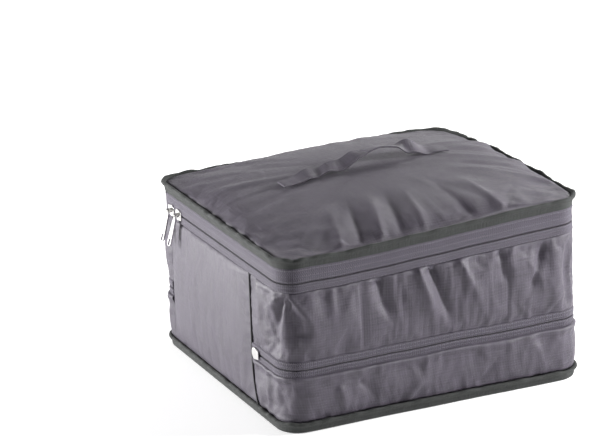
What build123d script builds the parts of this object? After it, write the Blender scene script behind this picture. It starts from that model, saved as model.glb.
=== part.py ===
"""Expandable packing cube: a soft zipped case with a hinged lid, a carry strap and an expansion zipper.

Units are millimetres. +Z is up, +X runs along the long side, and the front wall faces -Y.
The origin is the centre of the bottom panel's underside. The end wall at -X carries all the sliders.
Cloth is drawn thicker than it is, so that every piece is a clean closed solid.
"""

import os
from math import cos, radians, sin

from build123d import *

os.makedirs("parts", exist_ok=True)

# Outline of the cube, seen from above
LENGTH = 280.0
WIDTH = 265.0
CORNER_RADIUS = 20.0

# Heights of the bands, from the floor to the lid's rim
BINDING_HEIGHT = 12.5
LOWER_WALL_HEIGHT = 34.0
EXPANSION_BAND = 19.0
UPPER_WALL_HEIGHT = 56.0
LID_BAND = 20.5
LID_CROWN = 26.0
CROWN_SPRING = 9.5
CROWN_FLAT = 62.0
CROWN_STEPS = 5

# Thickness of the materials
CLOTH = 1.2
TAPE = 0.8
COIL = 1.2
BINDING = 2.4
BINDING_PROUD = 0.8
STRAP = 1.6

# Zipper chain
TAPE_INSET = 0.2
CHAIN_GAP = 1.0
COIL_HEIGHT = 2.0

# End wall
FRONT_SEAM_FROM_CORNER = 66.0
END_BULGE = 7.0
END_HIP = 2.0
SEAM_TAPE_WIDTH = 10.0

# Expansion gusset, folded behind the closed expansion zipper
GUSSET_INSET = 3.6
GUSSET_DROP = 28.0
GUSSET_RISE = 8.0

# Slider, with its nose at the end that opens the chain
PLATE_LENGTH = 12.5
PLATE_SHOULDER = 10.6
PLATE_TAIL = 7.6
PLATE_THICKNESS = 1.0
PLATE_ROUND = 0.35
PLATE_CLEARANCE = 0.35
BLADE_LENGTH = 3.0
BLADE_THICKNESS = 0.6
BRIDGE_LENGTH = 8.4
BRIDGE_BAR_RADIUS = 0.7
REAR_SLIDER_FROM_CORNER = 31.0
SLIDER_SPACING = 16.0
EXPANSION_SLIDER_MARGIN = 3.5
EXPANSION_TILT = 9.0

# Puller
EYE_CLEARANCE = 0.3
EYE_WALL = 0.8
EYE_WIDTH = 3.0
PULLER_LENGTH = 28.0
PULLER_SHOULDER = 6.5
PULLER_NECK = 5.0
PULLER_WIDTH = 7.4
PULLER_THICKNESS = 1.4
PULLER_HOLE_WIDTH = 3.6
PULLER_HOLE_LENGTH = 6.4
PULLER_LEAN = 16.0
INNER_PULLER_LEAN = 6.0

# Carry strap on the lid
STRAP_WIDTH = 18.0
STRAP_SPAN = 158.0
STRAP_FREE_SPAN = 116.0
STRAP_LOFT = 12.0
STRAP_END_LIFT = 6.0
STRAP_SEWN_LENGTH = 15.0
STRAP_GAP = 0.4

# Running clearance between bodies
CLEARANCE = 0.3

# Levels and places worked out from the sizes above
EXPANSION_BASE = BINDING_HEIGHT + LOWER_WALL_HEIGHT
EXPANSION_CHAIN = EXPANSION_BASE + EXPANSION_BAND / 2
UPPER_WALL_BASE = EXPANSION_BASE + EXPANSION_BAND
LID_BAND_BASE = UPPER_WALL_BASE + UPPER_WALL_HEIGHT
LID_CHAIN = LID_BAND_BASE + LID_BAND / 2
RIM_BASE = LID_BAND_BASE + LID_BAND
RIM_TOP = RIM_BASE + BINDING_HEIGHT
SPRING_LINE = RIM_BASE + CROWN_SPRING
BINDING_INNER = BINDING - BINDING_PROUD
CROWN_REACH = (WIDTH - CROWN_FLAT) / 2 - BINDING_INNER
COIL_INSET = TAPE_INSET + TAPE
END_FACE = -LENGTH / 2
FRONT_SEAM = -WIDTH / 2 + FRONT_SEAM_FROM_CORNER
LID_ZIP_END = WIDTH / 2 - CORNER_RADIUS
REAR_SEAM = LID_ZIP_END - SEAM_TAPE_WIDTH / 2
END_PANEL_MIDDLE = (FRONT_SEAM + REAR_SEAM) / 2
END_PANEL_WIDTH = REAR_SEAM - FRONT_SEAM - CLEARANCE
END_WINDOW_WIDTH = REAR_SEAM - FRONT_SEAM
REAR_SLIDER = WIDTH / 2 - REAR_SLIDER_FROM_CORNER
FRONT_SLIDER = REAR_SLIDER - SLIDER_SPACING
EXPANSION_SLIDER = FRONT_SEAM - EXPANSION_SLIDER_MARGIN - PLATE_LENGTH / 2
BIG = 2 * (LENGTH + WIDTH)


def finish(built, name):
    """Labels a finished piece and writes it to its own file."""
    built.part.label = name
    export_step(built.part, f"parts/{name}.step")
    print(f"{name}: {built.part.volume:.0f} mm3")


def outline_band(low, high, inset, thickness):
    """A closed band that follows the cube's outline between two heights."""
    inner = inset + thickness
    with BuildPart() as band:
        with BuildSketch(Plane.XY.offset(low)):
            RectangleRounded(LENGTH - 2 * inset, WIDTH - 2 * inset, CORNER_RADIUS - inset)
            RectangleRounded(
                LENGTH - 2 * inner, WIDTH - 2 * inner, CORNER_RADIUS - inner, mode=Mode.SUBTRACT
            )
        extrude(amount=high - low)
    return band


def wall_band(low, high, inset, thickness):
    """A band round the front, the far end and the back, which stops at the end panel's two seams."""
    ring = outline_band(low, high, inset, thickness)
    with BuildPart() as band:
        add(ring.part)
        with Locations((END_FACE, END_PANEL_MIDDLE, (low + high) / 2)):
            Box(CORNER_RADIUS, END_WINDOW_WIDTH, 2 * (high - low), mode=Mode.SUBTRACT)
    return band


def lid_zip_band(low, high, inset, thickness):
    """A band along both ends and the front, which stops where the back corners begin."""
    ring = outline_band(low, high, inset, thickness)
    with BuildPart() as band:
        add(ring.part)
        with Locations((0, LID_ZIP_END, (low + high) / 2)):
            Box(BIG, BIG, BIG, align=(Align.CENTER, Align.MIN, Align.CENTER), mode=Mode.SUBTRACT)
    return band


def back_strip():
    """The cloth strip between the two ends of the lid zipper, along the back and round its corners."""
    ring = outline_band(LID_BAND_BASE, RIM_BASE, 0, CLOTH)
    with BuildPart() as strip:
        add(ring.part)
        with Locations((0, LID_ZIP_END, LID_BAND_BASE)):
            Box(BIG, BIG, BIG, align=(Align.CENTER, Align.MAX, Align.CENTER), mode=Mode.SUBTRACT)
    return strip


def bottom_panel():
    """The flat floor panel, which fills the bottom binding."""
    with BuildPart() as panel:
        with BuildSketch():
            RectangleRounded(
                LENGTH - 2 * BINDING_INNER, WIDTH - 2 * BINDING_INNER, CORNER_RADIUS - BINDING_INNER
            )
        extrude(amount=CLOTH)
    return panel


def end_pillow(face):
    """The space inside the end panel: an upright arch and a deeper level one, springing from x = face."""
    low = BINDING_HEIGHT
    high = LID_BAND_BASE
    near = END_PANEL_MIDDLE - END_PANEL_WIDTH / 2
    far = END_PANEL_MIDDLE + END_PANEL_WIDTH / 2
    back = END_FACE + 2 * CLOTH
    middle_height = (low + high) / 2
    with BuildPart() as space:
        with BuildSketch(Plane.XZ.offset(-END_PANEL_MIDDLE)):
            with BuildLine():
                ThreePointArc((face, low), (face - END_BULGE, middle_height), (face, high))
                Polyline((face, high), (back, high), (back, low), (face, low))
            make_face()
        extrude(amount=END_PANEL_WIDTH / 2, both=True)
        with BuildSketch(Plane.XY.offset(middle_height)):
            with BuildLine():
                ThreePointArc((face, near), (face - END_BULGE - END_HIP, END_PANEL_MIDDLE), (face, far))
                Polyline((face, far), (back, far), (back, near), (face, near))
            make_face()
        extrude(amount=(high - low) / 2, both=True, mode=Mode.INTERSECT)
    return space


def end_panel(low, high):
    """A stretch of the end panel, which bows out like a pillow from its two seams and its two zippers."""
    outside = end_pillow(END_FACE)
    inside = end_pillow(END_FACE + CLOTH)
    with BuildPart() as panel:
        add(outside.part)
        add(inside.part, mode=Mode.SUBTRACT)
        with Locations((END_FACE, 0, low)):
            Box(BIG, BIG, BIG, align=(Align.CENTER, Align.CENTER, Align.MAX), mode=Mode.SUBTRACT)
        with Locations((END_FACE, 0, high)):
            Box(BIG, BIG, BIG, align=(Align.CENTER, Align.CENTER, Align.MIN), mode=Mode.SUBTRACT)
    return panel


def seam_tape(seam, low, high):
    """The narrow tape that binds an end seam's raw edges on the inside."""
    with BuildPart() as tape:
        with Locations((END_FACE + CLOTH, seam, low)):
            Box(TAPE, SEAM_TAPE_WIDTH, high - low, align=(Align.MIN, Align.CENTER, Align.MIN))
    return tape


def gusset():
    """The cloth that the expansion zipper lets out, folded down behind it as a pleat with a sewn flange."""
    pleat = outline_band(
        EXPANSION_CHAIN - GUSSET_DROP, EXPANSION_CHAIN + GUSSET_RISE, GUSSET_INSET, CLOTH
    )
    flange = outline_band(EXPANSION_BASE - CLOTH, EXPANSION_BASE, CLOTH, GUSSET_INSET - CLOTH)
    with BuildPart() as folded:
        add(pleat.part)
        add(flange.part)
        with Locations((END_FACE + CORNER_RADIUS, 0, EXPANSION_CHAIN)):
            Box(BIG, BIG, BIG, align=(Align.MAX, Align.CENTER, Align.CENTER), mode=Mode.SUBTRACT)
    return folded


def crown_rise(inset):
    """Height of the lid panel above its spring line, at a distance in from its edge."""
    share = min(inset / CROWN_REACH, 1) * CROWN_STEPS
    step = min(int(share), CROWN_STEPS - 1)
    low, high = (LID_CROWN * (1 - (1 - n / CROWN_STEPS) ** 2) for n in (step, step + 1))
    return low + (high - low) * (share - step)


def lid_space(drop):
    """The crowned space under the lid, built from level slices and shrunk all round by the drop."""
    half_length = LENGTH / 2 - BINDING_INNER - drop
    half_width = WIDTH / 2 - BINDING_INNER - drop
    insets = [CROWN_REACH * step / CROWN_STEPS for step in range(CROWN_STEPS + 1)]
    slices = [(0, RIM_BASE)] + [(inset, SPRING_LINE + crown_rise(inset) - drop) for inset in insets]
    with BuildPart() as space:
        for inset, height in slices:
            with BuildSketch(Plane.XY.offset(height)):
                RectangleRounded(
                    2 * (half_length - inset), 2 * (half_width - inset), CORNER_RADIUS - BINDING_INNER - drop
                )
        loft(ruled=True)
    return space


def lid_panel():
    """The crowned top panel, a skin that stands inside the lid's rim."""
    outside = lid_space(0)
    inside = lid_space(CLOTH)
    with BuildPart() as panel:
        add(outside.part)
        add(inside.part, mode=Mode.SUBTRACT)
    return panel


def crown_height(x):
    """Height of the lid panel's outer face above the floor, on the long centre line."""
    return SPRING_LINE + crown_rise(LENGTH / 2 - BINDING_INNER - abs(x))


def strap():
    """The free middle of the carry strap, an arch above the crown."""
    end = STRAP_FREE_SPAN / 2
    end_height = crown_height(end) + STRAP_END_LIFT
    top = crown_height(0) + STRAP_LOFT
    with BuildPart() as arch:
        with BuildSketch(Plane.XZ):
            with BuildLine():
                ThreePointArc((-end, end_height), (0, top), (end, end_height))
                Line((end, end_height), (end, end_height + STRAP))
                ThreePointArc((end, end_height + STRAP), (0, top + STRAP), (-end, end_height + STRAP))
                Line((-end, end_height + STRAP), (-end, end_height))
            make_face()
        extrude(amount=STRAP_WIDTH / 2, both=True)
    return arch


def strap_end(side):
    """A sewn end of the strap: it lies on the crown and rises to meet the arch."""
    inner = STRAP_FREE_SPAN / 2 + STRAP_GAP
    outer = STRAP_SPAN / 2
    knee = outer - STRAP_SEWN_LENGTH
    lifted = crown_height(STRAP_FREE_SPAN / 2) + STRAP_END_LIFT
    seat = [(inner, lifted), (knee, crown_height(knee)), (outer, crown_height(outer))]
    lower_edge = [(side * x, z) for x, z in seat]
    upper_edge = [(side * x, z + STRAP) for x, z in reversed(seat)]
    with BuildPart() as tab:
        with BuildSketch(Plane.XZ):
            with BuildLine():
                Polyline(*lower_edge, *upper_edge, close=True)
            make_face()
        extrude(amount=STRAP_WIDTH / 2, both=True)
        add(LID_SPACE.part, mode=Mode.SUBTRACT)
    return tab


def plate(base):
    """One plate of a slider in the slider's own frame, with its rounded face up."""
    half = PLATE_LENGTH / 2
    shoulder = half / 4
    with BuildPart() as slab:
        with BuildSketch(Plane.XY.offset(base)):
            with BuildLine():
                Polyline(
                    (shoulder, PLATE_SHOULDER / 2),
                    (-half, PLATE_TAIL / 2),
                    (-half, -PLATE_TAIL / 2),
                    (shoulder, -PLATE_SHOULDER / 2),
                )
                ThreePointArc((shoulder, -PLATE_SHOULDER / 2), (half, 0), (shoulder, PLATE_SHOULDER / 2))
            make_face()
        extrude(amount=PLATE_THICKNESS)
        fillet(slab.edges().group_by(Axis.Z)[-1], PLATE_ROUND)
    return slab


def bar_offset(plate_face):
    """Distance of the bridge's bar from the chain, which leaves the puller's eye room to turn."""
    return plate_face + PLATE_THICKNESS + EYE_CLEARANCE + EYE_WALL + BRIDGE_BAR_RADIUS + CLEARANCE


def slider(outer_face, inner_face, bridge_side):
    """A slider in its own frame: x points to its nose, and z points away from the cube.

    z = 0 is the tape's outer side. The faces are the distances of the two plates from there, and
    bridge_side is 1 for a bridge on the outside of the cube or -1 for one on the inside.
    """
    outer_plate = plate(outer_face)
    inner_plate = plate(inner_face)
    bridge_face = outer_face if bridge_side > 0 else inner_face
    bar = bridge_side * bar_offset(bridge_face)
    post_foot = bridge_side * (bridge_face + PLATE_THICKNESS / 2)
    post_reach = (BRIDGE_LENGTH - 2 * BRIDGE_BAR_RADIUS) / 2
    blade_middle = PLATE_LENGTH / 2 - PLATE_ROUND - BLADE_LENGTH / 2
    with BuildPart() as body:
        add(outer_plate.part)
        add(inner_plate.part.mirror(Plane.XY))
        with Locations((blade_middle, 0, (outer_face - inner_face) / 2)):
            Box(BLADE_LENGTH, BLADE_THICKNESS, outer_face + inner_face)
        with Locations((-post_reach, 0, (post_foot + bar) / 2), (post_reach, 0, (post_foot + bar) / 2)):
            Box(2 * BRIDGE_BAR_RADIUS, 2 * BRIDGE_BAR_RADIUS, abs(bar - post_foot))
        with Locations(Location((0, 0, bar), (0, 90, 0))):
            Cylinder(BRIDGE_BAR_RADIUS, BRIDGE_LENGTH)
    return body


def puller(lean):
    """A puller that hangs from a bar along x at the origin, tilted towards +z by the lean."""
    eye_inner = BRIDGE_BAR_RADIUS + EYE_CLEARANCE
    eye_outer = eye_inner + EYE_WALL
    tip = PULLER_LENGTH - PULLER_WIDTH / 2
    with BuildPart() as hanging:
        with BuildSketch(Plane.XY.offset(-PULLER_THICKNESS / 2)):
            with BuildLine():
                Polyline(
                    (-PULLER_WIDTH / 2, -tip),
                    (-PULLER_NECK / 2, -PULLER_SHOULDER),
                    (-EYE_WIDTH / 2, -eye_inner),
                    (EYE_WIDTH / 2, -eye_inner),
                    (PULLER_NECK / 2, -PULLER_SHOULDER),
                    (PULLER_WIDTH / 2, -tip),
                )
                ThreePointArc((PULLER_WIDTH / 2, -tip), (0, -PULLER_LENGTH), (-PULLER_WIDTH / 2, -tip))
            make_face()
            with Locations((0, -tip)):
                SlotOverall(PULLER_HOLE_LENGTH, PULLER_HOLE_WIDTH, rotation=90, mode=Mode.SUBTRACT)
        extrude(amount=PULLER_THICKNESS)
        with Locations(Location((0, 0, 0), (0, 90, 0))):
            Cylinder(eye_outer, EYE_WIDTH)
            Cylinder(eye_inner, 2 * EYE_WIDTH, mode=Mode.SUBTRACT)
    with BuildPart() as leaning:
        add(hanging.part, rotation=(-lean, 0, 0))
    return leaning


def on_end_wall(built, y, chain, nose, offset=0):
    """Moves a slider or a puller from its own frame to the end wall, its nose towards +Y or -Y."""
    seat = Plane(
        origin=(END_FACE + TAPE_INSET - offset, y, chain), x_dir=(0, nose, 0), z_dir=(-1, 0, 0)
    )
    with BuildPart() as placed:
        add(built.part.moved(seat.location))
    return placed


LID_SPACE = lid_space(0)

# Base: everything below the expansion chain
finish(bottom_panel(), "bottom_panel")
finish(outline_band(0, BINDING_HEIGHT, -BINDING_PROUD, BINDING), "bottom_binding")
finish(wall_band(BINDING_HEIGHT, EXPANSION_BASE, 0, CLOTH), "lower_wall")
finish(end_panel(BINDING_HEIGHT, EXPANSION_CHAIN - CLEARANCE / 2), "end_panel_lower")
finish(gusset(), "expansion_gusset")

# Middle: between the expansion chain and the lid chain
finish(wall_band(UPPER_WALL_BASE, LID_BAND_BASE, 0, CLOTH), "upper_wall")
finish(end_panel(EXPANSION_CHAIN + CLEARANCE / 2, LID_BAND_BASE), "end_panel_upper")
finish(back_strip(), "back_strip")

# The two halves of each zipper
expansion_halves = {
    "lower": (EXPANSION_BASE, EXPANSION_CHAIN - CHAIN_GAP / 2),
    "upper": (EXPANSION_CHAIN + CHAIN_GAP / 2, UPPER_WALL_BASE),
}
lid_halves = {
    "lower": (LID_BAND_BASE, LID_CHAIN - CHAIN_GAP / 2),
    "upper": (LID_CHAIN + CHAIN_GAP / 2, RIM_BASE),
}
zippers = [
    ("expansion_zip", wall_band, expansion_halves),
    ("lid_zip", lid_zip_band, lid_halves),
]
for zipper, band_maker, halves in zippers:
    for half, (low, high) in halves.items():
        coil_low = high - COIL_HEIGHT if half == "lower" else low
        finish(band_maker(low, high, TAPE_INSET, TAPE), f"{zipper}_tape_{half}")
        finish(band_maker(coil_low, coil_low + COIL_HEIGHT, COIL_INSET, COIL), f"{zipper}_coil_{half}")

# The tapes that bind the end panel's seams
for seam_name, seam_place in (("front", FRONT_SEAM), ("rear", REAR_SEAM)):
    finish(seam_tape(seam_place, BINDING_HEIGHT, EXPANSION_BASE), f"{seam_name}_seam_tape_lower")
    finish(seam_tape(seam_place, UPPER_WALL_BASE, LID_BAND_BASE), f"{seam_name}_seam_tape_upper")

# Lid and strap
finish(outline_band(RIM_BASE, RIM_TOP, -BINDING_PROUD, BINDING), "lid_binding")
finish(lid_panel(), "lid_panel")
finish(strap(), "strap")
finish(strap_end(-1), "strap_end_left")
finish(strap_end(1), "strap_end_right")

# Sliders and pullers of the lid zipper, nose to nose
inner_reach = TAPE + COIL + PLATE_CLEARANCE
lid_bar = bar_offset(PLATE_CLEARANCE)
lid_slider = slider(PLATE_CLEARANCE, inner_reach, 1)
lid_puller = puller(PULLER_LEAN)
for slider_name, place, nose in (("front", FRONT_SLIDER, 1), ("rear", REAR_SLIDER, -1)):
    finish(on_end_wall(lid_slider, place, LID_CHAIN, nose), f"{slider_name}_slider")
    finish(on_end_wall(lid_puller, place, LID_CHAIN, -1, lid_bar), f"{slider_name}_puller")

# Slider of the expansion zipper, with its puller inside and room for the tape to tilt away
tilt = radians(EXPANSION_TILT)
tilt_room = PLATE_SHOULDER / 2 * sin(tilt) + END_BULGE * (1 - cos(tilt))
inner_bar = bar_offset(inner_reach)
reversed_slider = slider(PLATE_CLEARANCE + tilt_room, inner_reach, -1)
inner_puller = puller(-INNER_PULLER_LEAN)
finish(on_end_wall(reversed_slider, EXPANSION_SLIDER, EXPANSION_CHAIN, 1), "expansion_slider")
finish(on_end_wall(inner_puller, EXPANSION_SLIDER, EXPANSION_CHAIN, -1, -inner_bar), "expansion_puller")
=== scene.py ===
"""Looks of the expandable packing cube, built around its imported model.

The cloth panels are grids shaped on the cube's outline and then relaxed by a cloth simulation, the bindings
and zipper tapes are swept strips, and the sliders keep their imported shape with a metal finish.
Sizes are in metres.
"""

from __future__ import annotations

import logging
from collections.abc import Callable
from dataclasses import dataclass, field
from enum import Enum
from math import cos, pi, radians, sin

import bpy
import numpy as np
from mathutils import Matrix, Vector, noise


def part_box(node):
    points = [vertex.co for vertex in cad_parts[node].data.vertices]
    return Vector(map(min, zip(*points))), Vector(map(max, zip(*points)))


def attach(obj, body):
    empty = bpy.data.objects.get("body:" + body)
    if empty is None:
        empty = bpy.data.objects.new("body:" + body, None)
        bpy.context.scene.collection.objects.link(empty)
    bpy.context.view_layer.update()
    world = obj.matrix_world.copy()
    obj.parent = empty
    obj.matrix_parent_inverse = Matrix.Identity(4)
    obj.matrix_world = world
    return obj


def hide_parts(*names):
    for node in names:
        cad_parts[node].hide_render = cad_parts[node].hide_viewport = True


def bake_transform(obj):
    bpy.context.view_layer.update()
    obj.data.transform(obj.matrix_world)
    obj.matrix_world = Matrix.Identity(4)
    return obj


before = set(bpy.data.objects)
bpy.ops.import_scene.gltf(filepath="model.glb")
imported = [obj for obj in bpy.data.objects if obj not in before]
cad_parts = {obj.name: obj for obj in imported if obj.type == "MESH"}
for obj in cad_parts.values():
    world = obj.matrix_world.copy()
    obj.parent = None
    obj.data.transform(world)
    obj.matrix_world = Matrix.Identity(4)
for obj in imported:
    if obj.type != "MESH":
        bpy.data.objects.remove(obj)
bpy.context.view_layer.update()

LOG = logging.getLogger("packing_cube")
MM = 0.001
CLOTH_THICKNESS = 0.4 * MM
Array = np.ndarray


class Body(Enum):
    """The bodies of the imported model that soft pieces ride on."""

    BASE = "base"
    UPPER = "upper"
    LID = "lid"
    STRAP = "strap"


# ---------------------------------------------------------------- modelling helpers
def deselect() -> None:
    """Clears the selection, so that an operator acts on one object only."""
    bpy.ops.object.select_all(action="DESELECT")


def choose(obj: bpy.types.Object) -> None:
    """Makes one object selected and active.

    Args:
        obj: The object that the next operator acts on.
    """
    deselect()
    obj.select_set(True)
    bpy.context.view_layer.objects.active = obj


def points_of(obj: bpy.types.Object) -> Array:
    """Reads the object's vertices.

    Args:
        obj: The mesh object.

    Returns:
        Positions, one row each.
    """
    flat = np.empty(len(obj.data.vertices) * 3)
    obj.data.vertices.foreach_get("co", flat)
    return flat.reshape(-1, 3)


def place_points(obj: bpy.types.Object, points: Array) -> None:
    """Moves the object's vertices to the given positions."""
    obj.data.vertices.foreach_set("co", np.ascontiguousarray(points, dtype=np.float64).ravel())
    obj.data.update()


def apply_all(obj: bpy.types.Object) -> None:
    """Applies every modifier of an object, in order.

    Args:
        obj: The object that keeps the result.
    """
    choose(obj)
    for name in [modifier.name for modifier in obj.modifiers]:
        bpy.ops.object.modifier_apply(modifier=name)


def cloth_grid(
    name: str, across: int, up: int, size: tuple[float, float], shape: Callable[[Array, Array], Array]
) -> bpy.types.Object:
    """Adds a grid primitive and lays it on a surface.

    Args:
        name: Name of the new piece.
        across: Number of faces along the first direction.
        up: Number of faces along the second direction.
        size: Cloth size in both directions, which scales the UV map to metres.
        shape: Gives the positions for arrays of the two grid coordinates, each from 0 to 1.

    Returns:
        The new object, smooth and with a metric UV map.
    """
    deselect()
    bpy.ops.mesh.primitive_grid_add(x_subdivisions=across, y_subdivisions=up, size=1)
    obj = bpy.context.object
    obj.name = obj.data.name = name
    flat = points_of(obj)
    u, v = flat[:, 0] + 0.5, flat[:, 1] + 0.5
    layer = obj.data.uv_layers.active
    loops = np.empty(len(obj.data.loops), dtype=np.int32)
    obj.data.loops.foreach_get("vertex_index", loops)
    layer.data.foreach_set("uv", joined(u[loops] * size[0], v[loops] * size[1]).ravel())
    place_points(obj, shape(u, v))
    bpy.ops.object.shade_smooth()
    return obj


def weld(obj: bpy.types.Object) -> None:
    """Merges the edges that meet, as where a loop closes, and turns the faces outwards.

    Args:
        obj: The closed mesh.
    """
    choose(obj)
    bpy.ops.object.mode_set(mode="EDIT")
    bpy.ops.mesh.select_all(action="SELECT")
    bpy.ops.mesh.remove_doubles(threshold=0.01 * MM)
    bpy.ops.mesh.normals_make_consistent(inside=False)
    bpy.ops.object.mode_set(mode="OBJECT")


def thicken(obj: bpy.types.Object, thickness: float) -> None:
    """Gives a sheet its thickness, inwards from the shown face.

    Args:
        obj: The sheet.
        thickness: Thickness of the cloth.
    """
    solid = obj.modifiers.new("thickness", "SOLIDIFY")
    solid.thickness = thickness
    solid.offset = -1
    apply_all(obj)


def ripple(points: Array, scale: float, seed: float) -> Array:
    """Smooth noise at each point, about -1 to 1.

    Args:
        points: Positions, one row each.
        scale: Size of the ripples in metres.
        seed: Shifts the pattern.

    Returns:
        One value for each point.
    """
    shift = Vector((seed, 1.7 * seed, -seed))
    return np.array([noise.noise(Vector(point) / scale + shift) for point in points.tolist()])


def crests(points: Array, scale: float, seed: float) -> Array:
    """Creased noise at each point, from 0 in the hollows to 1 along sharp crests."""
    return 1 - np.minimum(np.abs(ripple(points, scale, seed)) * 2.4, 1)


def through(stations: list[tuple[float, float]], value: Array) -> Array:
    """Smooth curve through chosen stations.

    Args:
        stations: Pairs of place and height, in order.
        value: Places to read.

    Returns:
        One height for each place.
    """
    total = np.full_like(value, stations[0][1])
    for (left, low), (right, high) in zip(stations, stations[1:]):
        total += (high - low) * step(left, right, value)
    return total


def swell(value: Array, middle: float, width: float) -> Array:
    """Bell curve: 1 at the middle, falling to 0 over a few widths."""
    return np.exp(-(((value - middle) / width) ** 2))


def unit(rows: Array) -> Array:
    """Scales each row to a length of 1."""
    return rows / np.linalg.norm(rows, axis=1)[:, None]


def joined(*parts: Array) -> Array:
    """Puts coordinates side by side, one row for each point."""
    return np.stack(parts, axis=1)


def grid_places(across: int, up: int) -> tuple[Array, Array]:
    """The two grid coordinates of each vertex of a grid, from 0 to 1."""
    columns = np.tile(np.arange(across + 1) / across, up + 1)
    return columns, np.repeat(np.arange(up + 1) / up, across + 1)


def step(low: float, high: float, value: Array) -> Array:
    """Smooth step from 0 at low to 1 at high."""
    share = np.clip((value - low) / (high - low), 0, 1)
    return share * share * (3 - 2 * share)


@dataclass(frozen=True)
class Drape:
    """How a cloth panel is relaxed."""

    spare: float
    pressure: float
    bending: float = 0.05
    frames: int = 22
    stiffness: float = 12.0

    def relax(self, obj: bpy.types.Object, held: Array) -> None:
        """Runs the cloth simulation and keeps its last frame.

        Args:
            obj: The panel, in its sewn place.
            held: True for each vertex that a seam holds.
        """
        choose(obj)
        pins = obj.vertex_groups.new(name="seam")
        pins.add(np.flatnonzero(held).tolist(), 1.0, "REPLACE")
        cloth = obj.modifiers.new("cloth", "CLOTH")
        settings = cloth.settings
        settings.quality = 8
        settings.mass = 0.2
        settings.vertex_group_mass = pins.name
        settings.tension_stiffness = self.stiffness
        settings.compression_stiffness = self.stiffness
        settings.shear_stiffness = self.stiffness / 3
        settings.bending_stiffness = self.bending
        settings.shrink_min = -self.spare
        settings.use_pressure = True
        settings.uniform_pressure_force = self.pressure
        settings.effector_weights.gravity = 0.0
        settings.air_damping = 4.0
        cloth.collision_settings.use_collision = False
        cloth.point_cache.frame_end = self.frames
        scene = bpy.context.scene
        for number in range(1, self.frames + 1):
            scene.frame_set(number)
        apply_all(obj)
        obj.vertex_groups.clear()
        scene.frame_set(1)


# ---------------------------------------------------------------- finishes
class Shade:
    """A material under construction: its node tree and its Principled shader."""

    def __init__(self, name: str, roughness: float, metallic: float = 0.0) -> None:
        """Starts a node material with plain shader constants.

        Args:
            name: Name of the material.
            roughness: Roughness of the surface.
            metallic: 1 for a metal and 0 for anything else.
        """
        self.material = bpy.data.materials.new(name)
        self.material.use_nodes = True
        self.tree = self.material.node_tree
        self.shader = self.tree.nodes["Principled BSDF"]
        self.shader.inputs["Roughness"].default_value = roughness
        self.shader.inputs["Metallic"].default_value = metallic

    def node(self, kind: str, **values: object) -> bpy.types.Node:
        """Adds a node and sets its attributes.

        Args:
            kind: Type of the node.
            **values: Attributes and their values.

        Returns:
            The new node.
        """
        made = self.tree.nodes.new(kind)
        for name, value in values.items():
            setattr(made, name, value)
        return made

    def link(self, source: bpy.types.NodeSocket, target: bpy.types.NodeSocket) -> None:
        """Joins two sockets."""
        self.tree.links.new(source, target)

    def group(self, tree: bpy.types.NodeTree, **values: object) -> bpy.types.Node:
        """Places a shared effect with its own values.

        Args:
            tree: The effect's node group.
            **values: Values of its inputs, with _ for a space.

        Returns:
            The group's node.
        """
        made = self.node("ShaderNodeGroup", node_tree=tree)
        for name, value in values.items():
            made.inputs[name.replace("_", " ")].default_value = value
        return made

    def tones(
        self, share: bpy.types.NodeSocket, dark: tuple[float, float, float], light: tuple[float, float, float]
    ) -> None:
        """Mixes two tones into the base colour.

        Args:
            share: Share of the light tone.
            dark: Darker tone.
            light: Lighter tone.
        """
        tone = self.node("ShaderNodeMix", data_type="RGBA")
        tone.inputs["A"].default_value = (*dark, 1)
        tone.inputs["B"].default_value = (*light, 1)
        self.link(share, tone.inputs["Factor"])
        self.link(tone.outputs["Result"], self.shader.inputs["Base Color"])

    def bump(self, height: bpy.types.NodeSocket, distance: float, strength: float) -> None:
        """Feeds a height into the shader's normal.

        Args:
            height: Height over the surface.
            distance: Depth of the relief.
            strength: Share of the relief that shows.
        """
        bump = self.node("ShaderNodeBump")
        bump.inputs["Distance"].default_value = distance
        bump.inputs["Strength"].default_value = strength
        self.link(height, bump.inputs["Height"])
        self.link(bump.outputs["Normal"], self.shader.inputs["Normal"])


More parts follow.
